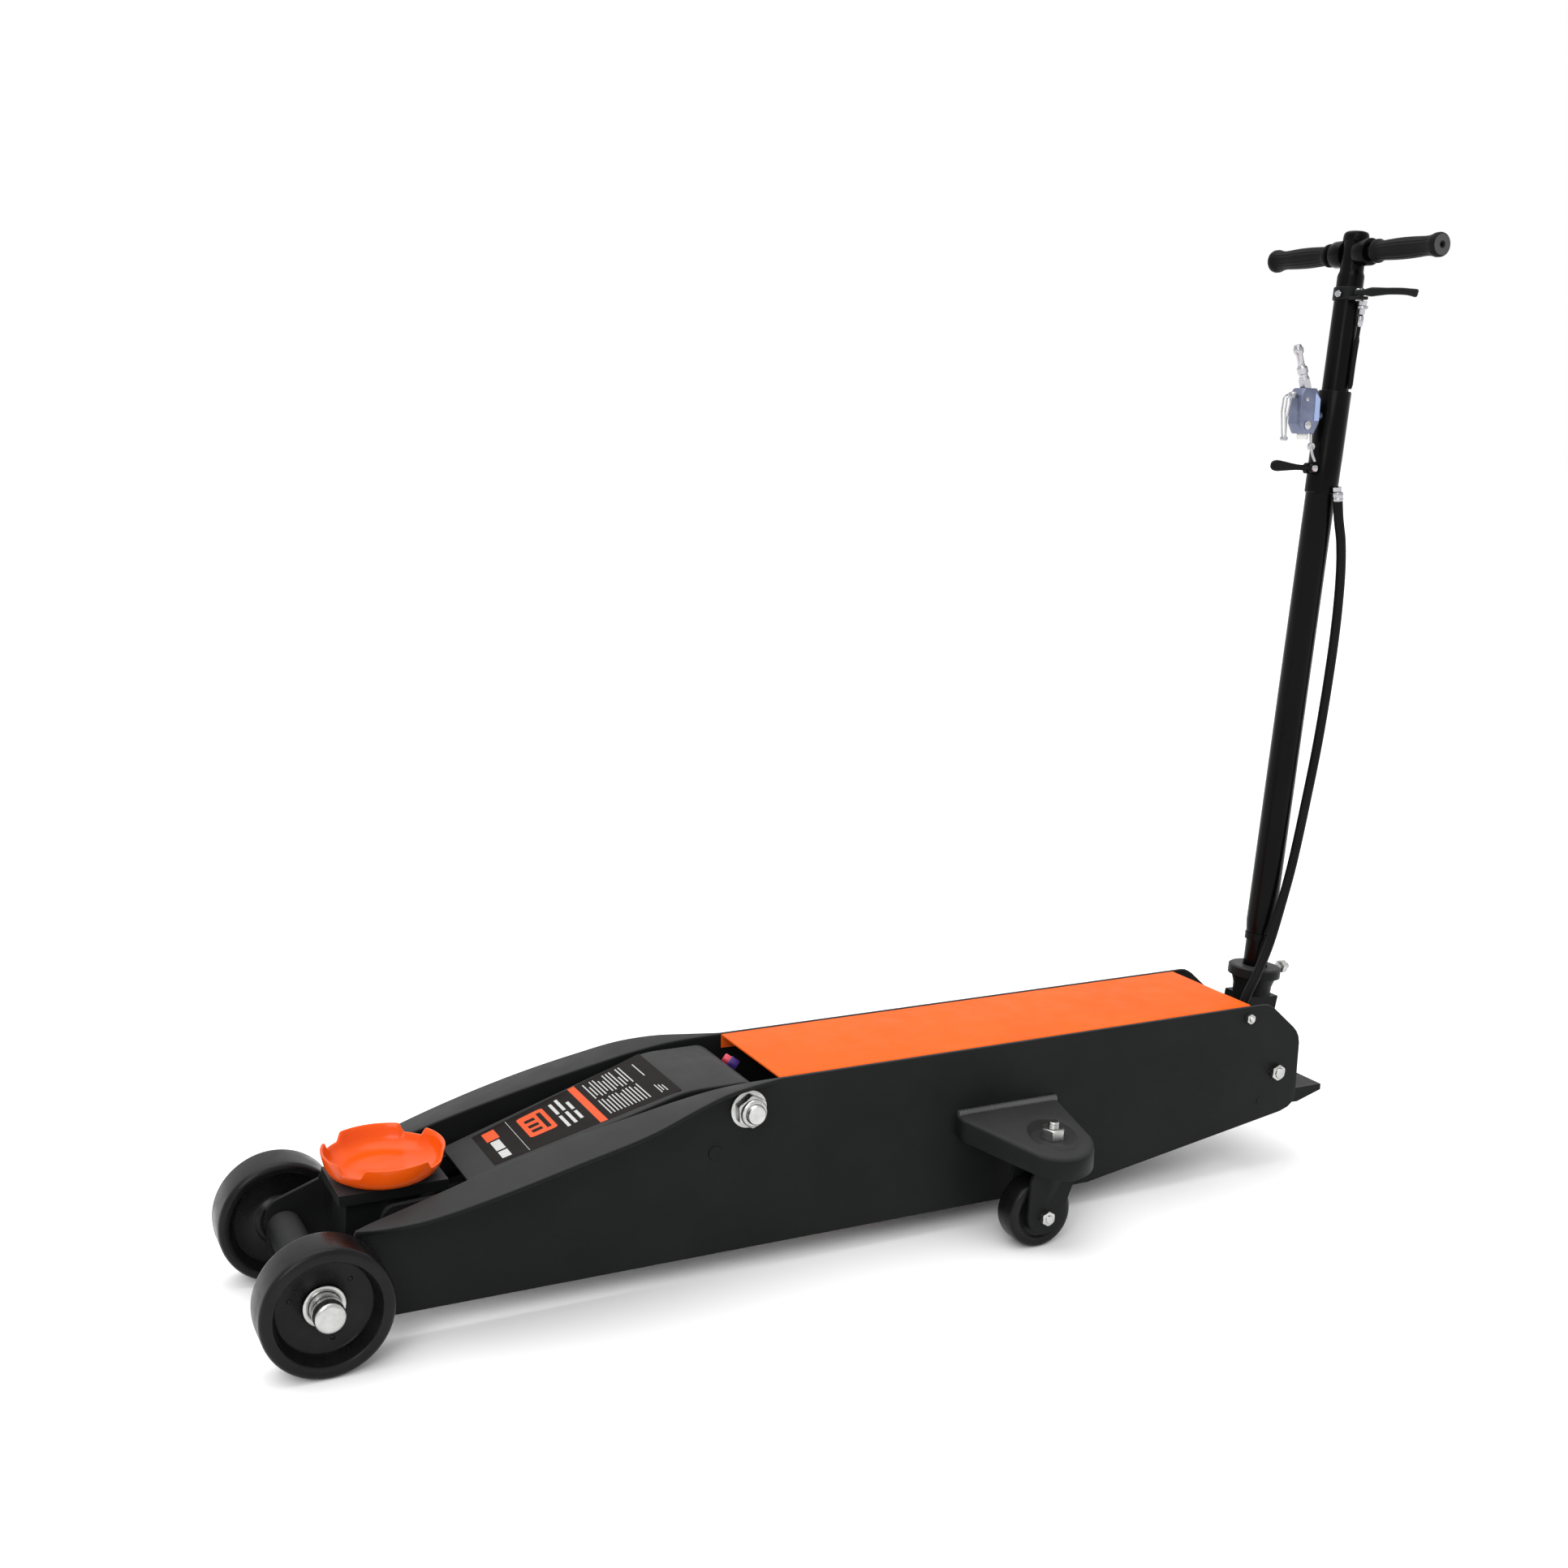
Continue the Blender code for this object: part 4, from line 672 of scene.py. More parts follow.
def deck():
    """Folded lid with soft bends, and the breather cap and its body in front of it."""
    low, high = span("deck_cover")
    half = high.y
    top, sheet, flange = high.z, 2.5, high.z - low.z
    outline = [(half, top - flange), (half, top), (-half, top), (-half, top - flange),
               (-half + sheet, top - flange), (-half + sheet, top - sheet), (half - sheet, top - sheet),
               (half - sheet, top - flange)]
    loop = rounded(outline, [0.6, 3.2, 3.2, 0.6, 0.6, 1.2, 1.2, 0.6], 5)
    short = [(y, max(z, top - sheet - 0.2)) for y, z in loop]
    bm = bmesh.new()
    stations = [(low.x, loop), (low.x + 0.4, loop), (1352.6, loop), (1353.0, short), (high.x - 0.4, short),
                (high.x, short)]
    loft(bm, [[(x, y, z) for y, z in points] for x, points in stations])
    piece("deck_lid", bm, "chassis", "deck_orange", replaces=("deck_cover",), bevel=0.5)
    bm = bmesh.new()
    lathe(bm, [(0, 0), (5.2, 0), (6.0, 0.8), (6.0, 8), (5.0, 9.5), (0, 9.5)], (587, 22, 243), PLUG_AXIS, 32)
    piece("breather_cap", bm, "chassis", material=EXTRA["plug_red"])
    bm = bmesh.new()
    lathe(bm, [(0, 0), (7.6, 0), (8.2, 0.8), (8.2, 12), (7.4, 13), (0, 13)], (595, 17, 236), PLUG_AXIS, 32)
    piece("breather_body", bm, "chassis", material=EXTRA["plug_violet"])


# ---------------------------------------------------------------- casters
BRACKET_SLOPE = 0.225
BRACKET_TOP = 168.0
BRACKET_NOSE_R = 57.6
SKIRT = 30.0
SHEET = 5.0


def bracket_plan(stem, side):
    """Outline of the bracket seen from above, rounded, as layout x, y."""
    low, high = span("caster_bracket_left")
    back = PLATE_OUTER + 0.3
    nose = (stem.x - 3, abs(stem.y))
    points = [(high.x, back), (high.x, back + 14)] + arc(nose, BRACKET_NOSE_R, 18, 142, 24)
    points += [(low.x, back + 14), (low.x, back)]
    return [(x, side * y) for x, y in points]


def plan_radius(plan, centre, angle):
    """Distance from the centre to the outline in a direction."""
    heading = Vector((math.cos(angle), math.sin(angle)))
    best = 0.0
    for start, end in zip(plan, plan[1:] + plan[:1]):
        a, b = Vector(start) - centre, Vector(end) - centre
        edge = b - a
        cross = heading.x * edge.y - heading.y * edge.x
        if abs(cross) < 1e-9:
            continue
        reach = (a.x * edge.y - a.y * edge.x) / cross
        share = (a.x * heading.y - a.y * heading.x) / cross
        if reach > 0 and -1e-6 <= share <= 1 + 1e-6:
            best = max(best, reach)
    return best


def caster_bracket(side, name, stem, seat):
    """Pressed bracket: sloped top, rounded nose and skirt, and a level seat for the swivel bolt."""
    plan = bracket_plan(stem, side)
    centre = Vector((stem.x, stem.y))
    segments = 144
    corners = [math.atan2(y - centre.y, x - centre.x) % math.tau for x, y in (plan[0], plan[1], plan[-2],
            plan[-1])]
    angles = sorted([math.tau * k / segments for k in range(segments)] + corners)

    def top(y):
        return BRACKET_TOP - BRACKET_SLOPE * (abs(y) - PLATE_OUTER)
    outer = [plan_radius(plan, centre, a) for a in angles]
    fold = 7.0
    rows = [(8.4, seat - 7), (8.4, seat), (22, seat), (27.5, seat), (30, seat + 0.6)]
    loops = []
    for radius, z in rows:
        loops.append([(centre.x + radius * math.cos(a), centre.y + radius * math.sin(a), z) for a in angles])

    def ring(distances, drop):
        loop = []
        for angle, distance in zip(angles, distances):
            x, y = centre.x + distance * math.cos(angle), centre.y + distance * math.sin(angle)
            loop.append((x, y, top(y) - drop))
        return loop
    loops.append(ring([33.5] * len(angles), 1.2))
    loops.append(ring([36.0] * len(angles), 0.0))
    for share in (0.35, 0.7):
        loops.append(ring([36 + (r - fold - 36) * share for r in outer], 0.0))
    for step in range(6):
        turn = math.pi / 2 * step / 5
        loops.append(ring([r - fold * (1 - math.sin(turn)) for r in outer], fold * (1 - math.cos(turn))))
    loops.append(ring(outer, SKIRT - 0.8))
    loops.append(ring([r - 0.8 for r in outer], SKIRT))
    loops.append(ring([r - SHEET + 0.6 for r in outer], SKIRT))
    loops.append(ring([r - SHEET for r in outer], SKIRT - 0.8))
    loops.append(ring([r - SHEET for r in outer], fold))
    loops.append(ring([r - fold - 1 for r in outer], SHEET + 0.6))
    loops.append(ring([37.0] * len(angles), SHEET + 0.6))
    loops.append([(centre.x + 34 * math.cos(a), centre.y + 34 * math.sin(a), seat - 7) for a in angles])
    bm = bmesh.new()
    loft(bm, loops, caps=False)
    piece("swivel_bracket_" + name, bm, "chassis", "body_black", replaces=("caster_bracket_" + name,),
          sharp=60)
    low, high = span("caster_bracket_left")
    bm = bmesh.new()
    route = [Vector((x, side * (PLATE_OUTER + 1.6), BRACKET_TOP + 0.2)) for x in np.linspace(low.x + 2,
            high.x - 2, 90)]
    sweep(bm, route, lambda t: 5.4 + 0.45 * math.sin(t * 190) * (0.6 + 0.4 * math.sin(t * 23)), 12)
    piece("weld_bead_" + name, bm, "chassis", material=EXTRA["weld"])


def casters():
    for side, name in SIDES:
        stem = (middle("caster_stem_bolt_" + name) - Vector((ORIGIN_X, 0, 0))) / MM
        low, high = span("caster_stem_bolt_" + name)
        seat = high.z - 24
        caster_bracket(side, name, stem, seat)
        refined("caster_fork_" + name, 1.6)
        swivel = name + "_caster"
        bm = bmesh.new()
        lathe(bm, [(0, 0), (12.4, 0), (13, 0.6), (13, 5.4), (12.4, 6), (8, 6), (8, seat + 1 - low.z),
                   (0, seat + 1 - low.z)], (stem.x, stem.y, low.z), (0, 0, 1), 48)
        hex_head(bm, (stem.x, stem.y, seat + 0.3), (0, 0, 1), 28.4, 15.0, turn=0.25 + 0.4 * side)
        lathe(bm, threaded(7.6, high.z - seat - 13, 1.5), (stem.x, stem.y, seat + 13), (0, 0, 1), 40)
        piece("swivel_bolt_" + name, bm, swivel, "zinc", replaces=("caster_stem_bolt_" + name,))
        low, high = span("caster_axle_" + name)
        x, z = (low.x + high.x) / 2, (low.z + high.z) / 2
        reach = (high.y - low.y) / 2
        bm = bmesh.new()
        lathe(bm, [(0, 0), (5.9, 0), (5.9, 2 * reach - 24), (0, 2 * reach - 24)],
              (x, stem.y - reach + 12, z), (0, 1, 0), 32)
        for end in (-1, 1):
            face = stem.y + end * (reach - 11)
            hex_head(bm, (x, face, z), (0, end, 0), 18.0, 9.0, turn=0.3)
            lathe(bm, threaded(5.6, 3.2, 1.0, 0.7), (x, face + end * 7.8, z), (0, end, 0), 32)
        piece("caster_spindle_" + name, bm, swivel, "zinc", replaces=("caster_axle_" + name,))
        low, high = span("caster_wheel_" + name)
        radius, wide = (high.z - low.z) / 2, high.y - low.y
        half = [(radius, 6), (radius - 0.8, 3.2), (radius - 2.8, 0.9), (radius - 6, 0), (36, 0), (34, 0.8),
                (32.5, 3.2), (30, 4), (17, 4), (14.5, 2.4), (12.5, -1.6), (11.5, -2), (7.2, -2),
                (6.5, -1.4)]
        bm = bmesh.new()
        lathe(bm, half + [(r, wide - a) for r, a in reversed(half)], (x, stem.y - wide / 2 + 2, z),
              (0, 1, 0), 96, ring=True)
        piece("caster_roller_" + name, bm, name + "_caster_wheel", "wheel_iron",
              replaces=("caster_wheel_" + name,), sharp=50)


# ---------------------------------------------------------------- lift arm and saddle
ARM_FRONT = (198.0, 167.0)
ARM_SLOPE = 0.298
ARM_SKIN = 7.5
CURL_R = 28.0
ARM_HALF = ((198.0, 61.0), (487.5, 76.0))


def arm_pivot():
    centre = (middle("arm_sleeve_left") - Vector((ORIGIN_X, 0, 0))) / MM
    return Vector((centre.x, centre.z))


def arm_half(x):
    return float(np.interp(x, [p[0] for p in ARM_HALF], [p[1] for p in ARM_HALF]))


def arm_top():
    """Formed top of the lift arm: rolled edges, level crest and a curl round the pivot."""
    pivot = arm_pivot()
    crest = pivot.y + CURL_R
    knee = ARM_FRONT[0] + (crest - ARM_FRONT[1]) / ARM_SLOPE
    line = [Vector(ARM_FRONT) + Vector((1, ARM_SLOPE)) * d for d in np.linspace(0, knee - 46 - ARM_FRONT[0],
            24)]
    turn = [Vector(p) for p in rounded([tuple(line[-1]), (knee, crest), (knee + 46, crest)], 400, 10,
                                       closed=False)][1:]
    curl = [Vector(p) for p in arc(pivot, CURL_R, 90, 12, 16)]
    path = line + [p for p in turn if p.x < curl[0].x - 2] + curl
    loops = []
    for index, point in enumerate(path):
        ahead = (path[min(index + 1, len(path) - 1)] - path[max(index - 1, 0)]).normalized()
        inward = Vector((ahead.y, -ahead.x))
        half = arm_half(point.x)
        corners = [(-half, 0), (half, 0), (half, ARM_SKIN), (-half, ARM_SKIN)]
        loop = rounded(corners, [5.0, 5.0, 1.5, 1.5], 5)
        loops.append([(point.x + inward.x * depth, y, point.y + inward.y * depth) for y, depth in loop])
    bm = bmesh.new()
    loft(bm, loops)
    piece("arm_skin", bm, "lift_arm", "arm_black", replaces=("arm_top_plate",), bevel=1.0)


LABEL_START = 235.0
LABEL_END = 477.0


def label_point(u, v, lift):
    """A point over the arm's slope: u runs along the label, v across it from left to right, both 0 to 1."""
    x = LABEL_START + (LABEL_END - LABEL_START) * u
    half_front, half_rear = 47.5, 71.0
    half = half_front + (half_rear - half_front) * u
    y = 3.5 - half + 2 * half * v
    tilt = math.hypot(1, ARM_SLOPE)
    z = ARM_FRONT[1] + (x - ARM_FRONT[0]) * ARM_SLOPE
    return (x - ARM_SLOPE / tilt * lift, y, z + lift / tilt)


def label_patch(bm, u_span, v_span, low, high, radius=0.0):
    outline = [(u_span[0], v_span[0]), (u_span[1], v_span[0]), (u_span[1], v_span[1]), (u_span[0], v_span[1])]
    if radius:
        outline = rounded(outline, radius, 4)
    loft(bm, [[label_point(u, v, lift) for u, v in outline] for lift in (low, high)])


def label():
    """A plain printed sheet: colour blocks and bars that stand for its contents, with no lettering."""
    bm = bmesh.new()
    label_patch(bm, (0, 1), (0, 1), -0.3, 0.25, 0.012)
    piece("label_sheet", bm, "lift_arm", material=EXTRA["label_ground"])
    orange = bmesh.new()
    label_patch(orange, (0.045, 0.115), (0.66, 0.93), 0.2, 0.34, 0.006)
    label_patch(orange, (0.235, 0.385), (0.30, 0.88), 0.2, 0.34, 0.035)
    label_patch(orange, (0.560, 0.600), (0.0, 1.0), 0.2, 0.34)
    piece("label_orange_blocks", orange, "lift_arm", material=EXTRA["label_orange"])
    inset = bmesh.new()
    for u_span, v_span in (((0.262, 0.318), (0.40, 0.47)), ((0.262, 0.318), (0.53, 0.60)),
                           ((0.262, 0.318), (0.68, 0.75)), ((0.338, 0.362), (0.38, 0.80))):
        label_patch(inset, u_span, v_span, 0.3, 0.42)
    piece("label_dark_bars", inset, "lift_arm", material=EXTRA["label_ground"])
    white = bmesh.new()
    for start, end in ((0.10, 0.30), (0.34, 0.62)):
        label_patch(white, (0.055, 0.105), (start, end), 0.2, 0.34)
    label_patch(white, (0.187, 0.190), (0.03, 0.97), 0.2, 0.30)
    for row, (first, last) in enumerate(((0.20, 0.86), (0.22, 0.90), (0.26, 0.74))):
        u = 0.420 + row * 0.040
        label_patch(white, (u, u + 0.018), (first, (first + last) / 2 - 0.02), 0.2, 0.34)
        label_patch(white, (u, u + 0.018), ((first + last) / 2 + 0.03, last), 0.2, 0.34)
    for row in range(12):
        u = 0.635 + row * 0.0195
        first = 0.53 + 0.05 * (row % 3 == 1)
        last = 0.93 - 0.11 * ((row * 5) % 4 == 1) - 0.07 * ((row * 3) % 5 == 2)
        label_patch(white, (u, u + 0.0068), (0.10, 0.47 - 0.05 * (row % 4 == 2)), 0.2, 0.32)
        label_patch(white, (u, u + 0.0068), (first, last), 0.2, 0.32)
    for u, v_span in ((0.915, (0.10, 0.30)), (0.93, (0.13, 0.27)), (0.945, (0.10, 0.24)),
                      (0.92, (0.55, 0.86))):
        label_patch(white, (u, u + 0.006), v_span, 0.2, 0.32)
    piece("label_white_bars", white, "lift_arm", material=EXTRA["label_white"])


LOBE = 11.0


def lobe_rise(angle):
    """Share of the full lobe height round the saddle's rim: four lobes with sloping notch walls."""
    nearest = abs((angle + math.pi / 4) % (math.pi / 2) - math.pi / 4)
    rise = min(max((math.radians(36) - nearest) / math.radians(7), 0.0), 1.0)
    return rise * rise * (3 - 2 * rise)


def saddle():
    low, high = span("saddle")
    centre = ((low.x + high.x) / 2, (low.y + high.y) / 2)
    rim_z = high.z - LOBE
    base = low.z + 18
    floor = base + 8
    profile = [(0, low.z, 0), (15.2, low.z, 0), (16, low.z + 0.8, 0), (16, base - 1, 0), (17, base, 0),
               (49, base, 0), (52, base + 0.5, 0), (60, base + 4, 0), (68, base + 9.5, 0),
               (72, base + 15, 0.15), (74.2, rim_z - 4, 0.6), (75.4, rim_z - 1.2, 0.9),
               (75.4, rim_z - 0.3, 1), (74.6, rim_z, 1), (73.2, rim_z, 1), (72.2, rim_z - 0.6, 0.97),
               (70.8, rim_z - 3.5, 0.75), (68.6, rim_z - 7.0, 0.35), (66, rim_z - 9.4, 0.1),
               (62, rim_z - 11.2, 0), (57, floor + 2.0, 0), (53.5, floor + 1.2, 0), (50, floor + 0.2, 0),
               (47, floor, 0), (26, floor, 0), (24.5, floor - 0.5, 0), (0, floor - 0.5, 0)]
    segments = 240
    rows = []
    bm = bmesh.new()
    for radius, height, share in profile:
        row = []
        for step in range(segments if radius else 1):
            angle = math.tau * step / segments
            lift = LOBE * share * lobe_rise(angle)
            wide = min(radius * (1 + lift * 0.0006) + 0.25 * share * lobe_rise(angle), 76.4)
            row.append(bm.verts.new(at(centre[0] + wide * math.cos(angle),
                                       centre[1] + wide * math.sin(angle), height + lift)))
        rows.append(row)
    for near, far in zip(rows, rows[1:]):
        for step in range(segments):
            after = (step + 1) % segments
            corners = (near[step % len(near)], near[after % len(near)], far[after % len(far)],
                       far[step % len(far)])
            bm.faces.new(list(dict.fromkeys(corners)))
    piece("lifting_saddle", bm, "saddle_body", "saddle_orange", replaces=("saddle",), sharp=55)


# ---------------------------------------------------------------- handle
HANDLE_FOOT = Vector((1458.5, 0.0, 283.7))
HANDLE_HEAD = Vector((1543.4, 0.0, 1353.8))
HANDLE_DIR = (HANDLE_HEAD - HANDLE_FOOT).normalized()
T_BAR_Z = 1329.0
HAND_LEVER = (1488.0, -8.0, 1027.0)
DROP_LEVER_STRETCH = 0.905


def handle_point(z):
    return HANDLE_FOOT + HANDLE_DIR * ((z - HANDLE_FOOT.z) / HANDLE_DIR.z)


def along(z, start):
    return (z - start) / HANDLE_DIR.z


def handle_tubes():
    low = 197.0
    sleeve = 994.0
    join = 1137.0
    bm = bmesh.new()
    profile = [(0, 0), (16.6, 0), (17.6, 1), (17.6, along(322, low)), (18.4, along(329, low)),
               (20.2, along(343, low)), (21, along(352, low)), (21, along(sleeve - 4, low)),
               (21.6, along(sleeve - 2.8, low)), (22.8, along(sleeve - 2, low)), (23, along(sleeve, low)),
               (23, along(join - 2.4, low)), (22, along(join - 0.6, low)), (0, along(join - 0.6, low))]
    lathe(bm, profile, handle_point(low), HANDLE_DIR, 72)
    x, y, z = HAND_LEVER
    lug = rounded([(x - 7, z - 8), (x + 16, z - 8), (x + 16, z + 8), (x - 7, z + 8)], [6, 1, 1, 6], 5)
    loft(bm, [[(px, py, pz) for px, pz in lug] for py in (y + 4.8, y + 12)])
    piece("lower_tube", bm, "handle", "tube_gloss", replaces=("handle_tube",), sharp=50)
    bm = bmesh.new()
    profile = [(0, 0), (18.5, 0), (18.5, along(1296, join)), (17.9, along(1299, join)),
               (16.4, along(1303, join)), (16.2, along(1306, join)), (16.2, along(1343, join)),
               (16.6, along(1344, join)), (17.3, along(1344.4, join)), (17.7, along(1345.4, join)),
               (17.7, along(1351, join)), (17, along(1355, join)), (15.2, along(1357.6, join)),
               (12.0, along(1358.8, join)), (0, along(1359.0, join))]
    lathe(bm, profile, handle_point(join), HANDLE_DIR, 72)
    piece("upper_tube", bm, "handle", "tube_gloss", replaces=("handle_head",), sharp=50)
    centre = handle_point(T_BAR_Z)
    bm = bmesh.new()
    reach = span("t_bar")[1].y
    for side in (-1, 1):
        lathe(bm, [(16, 0), (18.4, 0.6), (19, 2), (19, 20), (18.4, 21.4), (14, 22.6), (10.2, 23)],
              (centre.x, side * 12, T_BAR_Z), (0, side, 0), 48)
    lathe(bm, [(0, 0), (10, 0), (10, 2 * reach), (0, 2 * reach)], (centre.x, -reach, T_BAR_Z), (0, 1, 0), 40)
    piece("cross_bar", bm, "handle", "tube_gloss", replaces=("t_bar",), sharp=50)


def grips():
    """Moulded grips: a collar, a swelling ribbed body and a round end with a vent hole."""
    centre = handle_point(T_BAR_Z)
    for side, name in SIDES:
        low, high = span("grip_" + name)
        start = min(abs(low.y), abs(high.y))
        reach = high.y - low.y
        profile = [(10.3, 0), (15.8, 0), (16.5, 0.8), (16.5, 4.4), (15.8, 5.4), (13.6, 8.0), (13.2, 12)]
        for step in range(1, 20):
            share = step / 20
            swell = 13.2 + 1.5 * math.sin(math.pi * min(share * 1.15, 1.0))
            profile.append((swell, 12 + (reach - 30) * share))
        profile += [(14.0, reach - 16), (15.0, reach - 12), (16.1, reach - 10), (16.5, reach - 8),
                    (16.5, reach - 3.4), (15.8, reach - 1.4), (14.6, reach - 0.3), (3.2, reach),
                    (2.6, reach - 0.6), (2.6, reach - 5), (0, reach - 5)]

        def flutes(radius, along_axis, angle):
            if 12 <= along_axis <= reach - 16 and radius > 12:
                return radius + 0.35 * math.cos(angle * 18), along_axis
            return radius, along_axis
        bm = bmesh.new()
        lathe(bm, profile, (centre.x, side * start, T_BAR_Z), (0, side, 0), 108, radius_at=flutes)
        piece("hand_grip_" + name, bm, "handle", "rubber", replaces=("grip_" + name,), sharp=60)
        bm = bmesh.new()
        lathe(bm, [(3.4, 0), (14.2, 0), (14.2, 0.35), (13.6, 0.5), (3.8, 0.5), (3.4, 0.35)],
              (centre.x, side * (start + reach - 0.55), T_BAR_Z), (0, side, 0), 64, ring=True)
        piece("grip_end_" + name, bm, "handle", material=EXTRA["end_cap"])


def blade(bm, stations, thickness):
    """A lever blade: stations are (centre point, half width) in plan with a rounded section."""
    loops = []
    points = [Vector(place) for place, half in stations]
    halves = [half for place, half in stations]
    for index, (point, half) in enumerate(zip(points, halves)):
        ahead = (points[min(index + 1, len(points) - 1)] - points[max(index - 1, 0)]).normalized()
        side = ahead.cross(Vector((0, 0, 1))).normalized()
        up = side.cross(ahead)
        thick = thickness(index / (len(points) - 1))
        section = rounded([(-half, -thick), (half, -thick), (half, thick), (-half, thick)],
                          min(half, thick) * 0.95, 4)
        loops.append([tuple(point + side * s + up * u) for s, u in section])
    loft(bm, loops)


def release_lever():
    x, y, z = 1526.0, -27.0, 1272.0
    route = smooth_route([(x - 1, y - 1.5, z), (x + 2, y - 14, z + 0.4), (x + 7, y - 32, z + 0.6),
                          (x + 13, y - 52, z + 0.4), (x + 17.5, y - 70, z - 0.8), (x + 20, y - 84, z - 3.0),
                          (x + 20.5, y - 91, z - 4.6)], 3.0)
    stations = []
    for index, point in enumerate(route):
        share = index / (len(route) - 1)
        half = 8.5 - 4.6 * min(share * 2.4, 1.0) + 5.4 * max(share - 0.85, 0)
        stations.append((point, half * (1.0 if share < 0.97 else 0.75)))
    bm = bmesh.new()
    blade(bm, stations, lambda share: float(np.interp(share, (0, 0.14, 0.24, 0.5, 0.85, 1),
                                                      (4.0, 4.0, 6.6, 4.8, 4.8, 5.8))))
    piece("squeeze_lever", bm, "lever", "body_black", replaces=("release_lever",), sharp=60, subdivide=1)
    ring = handle_point(z)
    bm = bmesh.new()
    lathe(bm, [(18.8, -9), (20.2, -9), (21, -8.2), (21, 8.2), (20.2, 9), (18.8, 9)], ring, HANDLE_DIR, 64,
          ring=True)
    outline = rounded([(x - 9, y - 10), (x + 14, y - 10), (x + 14, y + 7), (x - 9, y + 7)], 3.5, 4)
    loft(bm, [[(px, py, height) for px, py in outline] for height in (z - 9, z - 4.4)])
    piece("lever_clamp", bm, "handle", "body_black", replaces=("lever_bracket",), bevel=0.5)
    bm = bmesh.new()
    lathe(bm, [(0, 0), (2.4, 0), (2.4, 13.6), (0, 13.6)], (x, y - 4, z - 9.4), (0, 0, 1), 24)
    hex_head(bm, (x, y - 4, z - 8.9), (0, 0, -1), 7.2, 2.2)
    lathe(bm, [(0, 0), (4.4, 0), (4.6, 0.6), (3.6, 2.0), (0, 2.5)], (x, y - 4, z + 4.2), (0, 0, 1), 32)
    clamp = handle_point(z)
    hex_head(bm, (clamp.x - 21.5, clamp.y - 6, clamp.z), (-1, -0.25, 0), 8.6, 5.5, dome=0.6)
    lathe(bm, threaded(3.4, 4.4, 0.9, 0.6), (clamp.x - 26.2, clamp.y - 7.2, clamp.z), (-1, -0.25, 0), 24)
    piece("clamp_screws", bm, "handle", "chrome")
    bm = bmesh.new()
    barrel = Vector((1540, -27, 1262))
    down = Vector((0.0, 0.12, -1)).normalized()
    hex_head(bm, barrel, down, 10.4, 6.5, both=True)
    lathe(bm, [(0, 0), (7.0, 0), (7.4, 0.6), (7.4, 4.2), (6.8, 4.8), (4.4, 4.8), (4.4, 12), (3.2, 13),
               (0, 13)], barrel + down * 6.5, down, 36)
    lathe(bm, [(0, 0), (3.4, 0), (4.2, 1.2), (4.2, 13), (3.0, 15), (0, 15)], barrel + down * 21, down, 32)
    piece("cable_adjuster", bm, "handle", "chrome")


HOSE_UPPER = [(1517, -31, 992), (1523, -31, 955), (1531, -31, 920), (1536, -30, 870), (1535, -30, 800),
              (1529, -30, 720), (1519, -30, 630), (1505, -30, 540), (1488, -31, 450), (1470, -33, 385),
              (1449, -38, 330), (1428, -41, 288), (1409, -41, 251), (1398, -41, 216), (1396, -41, 190),
              (1397.5, -41, 175.5)]
HOSE_LOWER = [(1397.8, -41, 172), (1395, -42, 160), (1384, -47, 151), (1360, -55, 149), (1328, -66, 150),
              (1300.0, -67, 150)]
RELEASE_CABLE = [(1540, -27, 1261), (1541, -24, 1245), (1539, -22, 1212), (1535.5, -21.5, 1175),
                 (1533, -21.5, 1139.5)]
HOSE_R = 6.8


def cords():
    bm = bmesh.new()
    sweep(bm, smooth_route(RELEASE_CABLE, 4.0), 2.5, 14)
    guard = smooth_route(RELEASE_CABLE, 2.0)
    cover = [p for p in guard if 1141 < p.z < 1212]
    sweep(bm, cover, lambda t: 3.6 if 0.03 < t < 0.97 else 3.0, 18)
    piece("release_cable_line", bm, "handle", "rubber", replaces=("release_cable",))
    bm = bmesh.new()
    route = smooth_route(HOSE_UPPER[:-1] + HOSE_LOWER, 5.0)
    sweep(bm, route, HOSE_R, 24)
    hose = piece("air_hose", bm, None, "rubber", replaces=("hose_upper", "hose_lower"))
    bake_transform(hose)
    bm = bmesh.new()
    top = Vector(HOSE_UPPER[0])
    axis = (Vector(HOSE_UPPER[0]) - Vector(HOSE_UPPER[1])).normalized()
    lathe(bm, [(0, 0), (7.2, 0), (7.7, 0.8), (7.7, 3.4), (7.1, 4.4), (7.7, 5.4), (7.7, 12), (7.1, 13),
               (5, 13), (4.4, 13.4), (4.4, 20), (0, 20)], top - axis * 11, axis, 40)
    hex_head(bm, top + axis * 3, axis, 11.5, 6.5, both=True)
    piece("hose_ferrule", bm, "handle", "chrome")
    bm = bmesh.new()
    lathe(bm, [(19.0, -5), (20.4, -5), (20.4, 5), (19.0, 5)], handle_point(329.0), HANDLE_DIR, 64, ring=True)
    piece("hose_bands", bm, "handle", "tube_gloss")


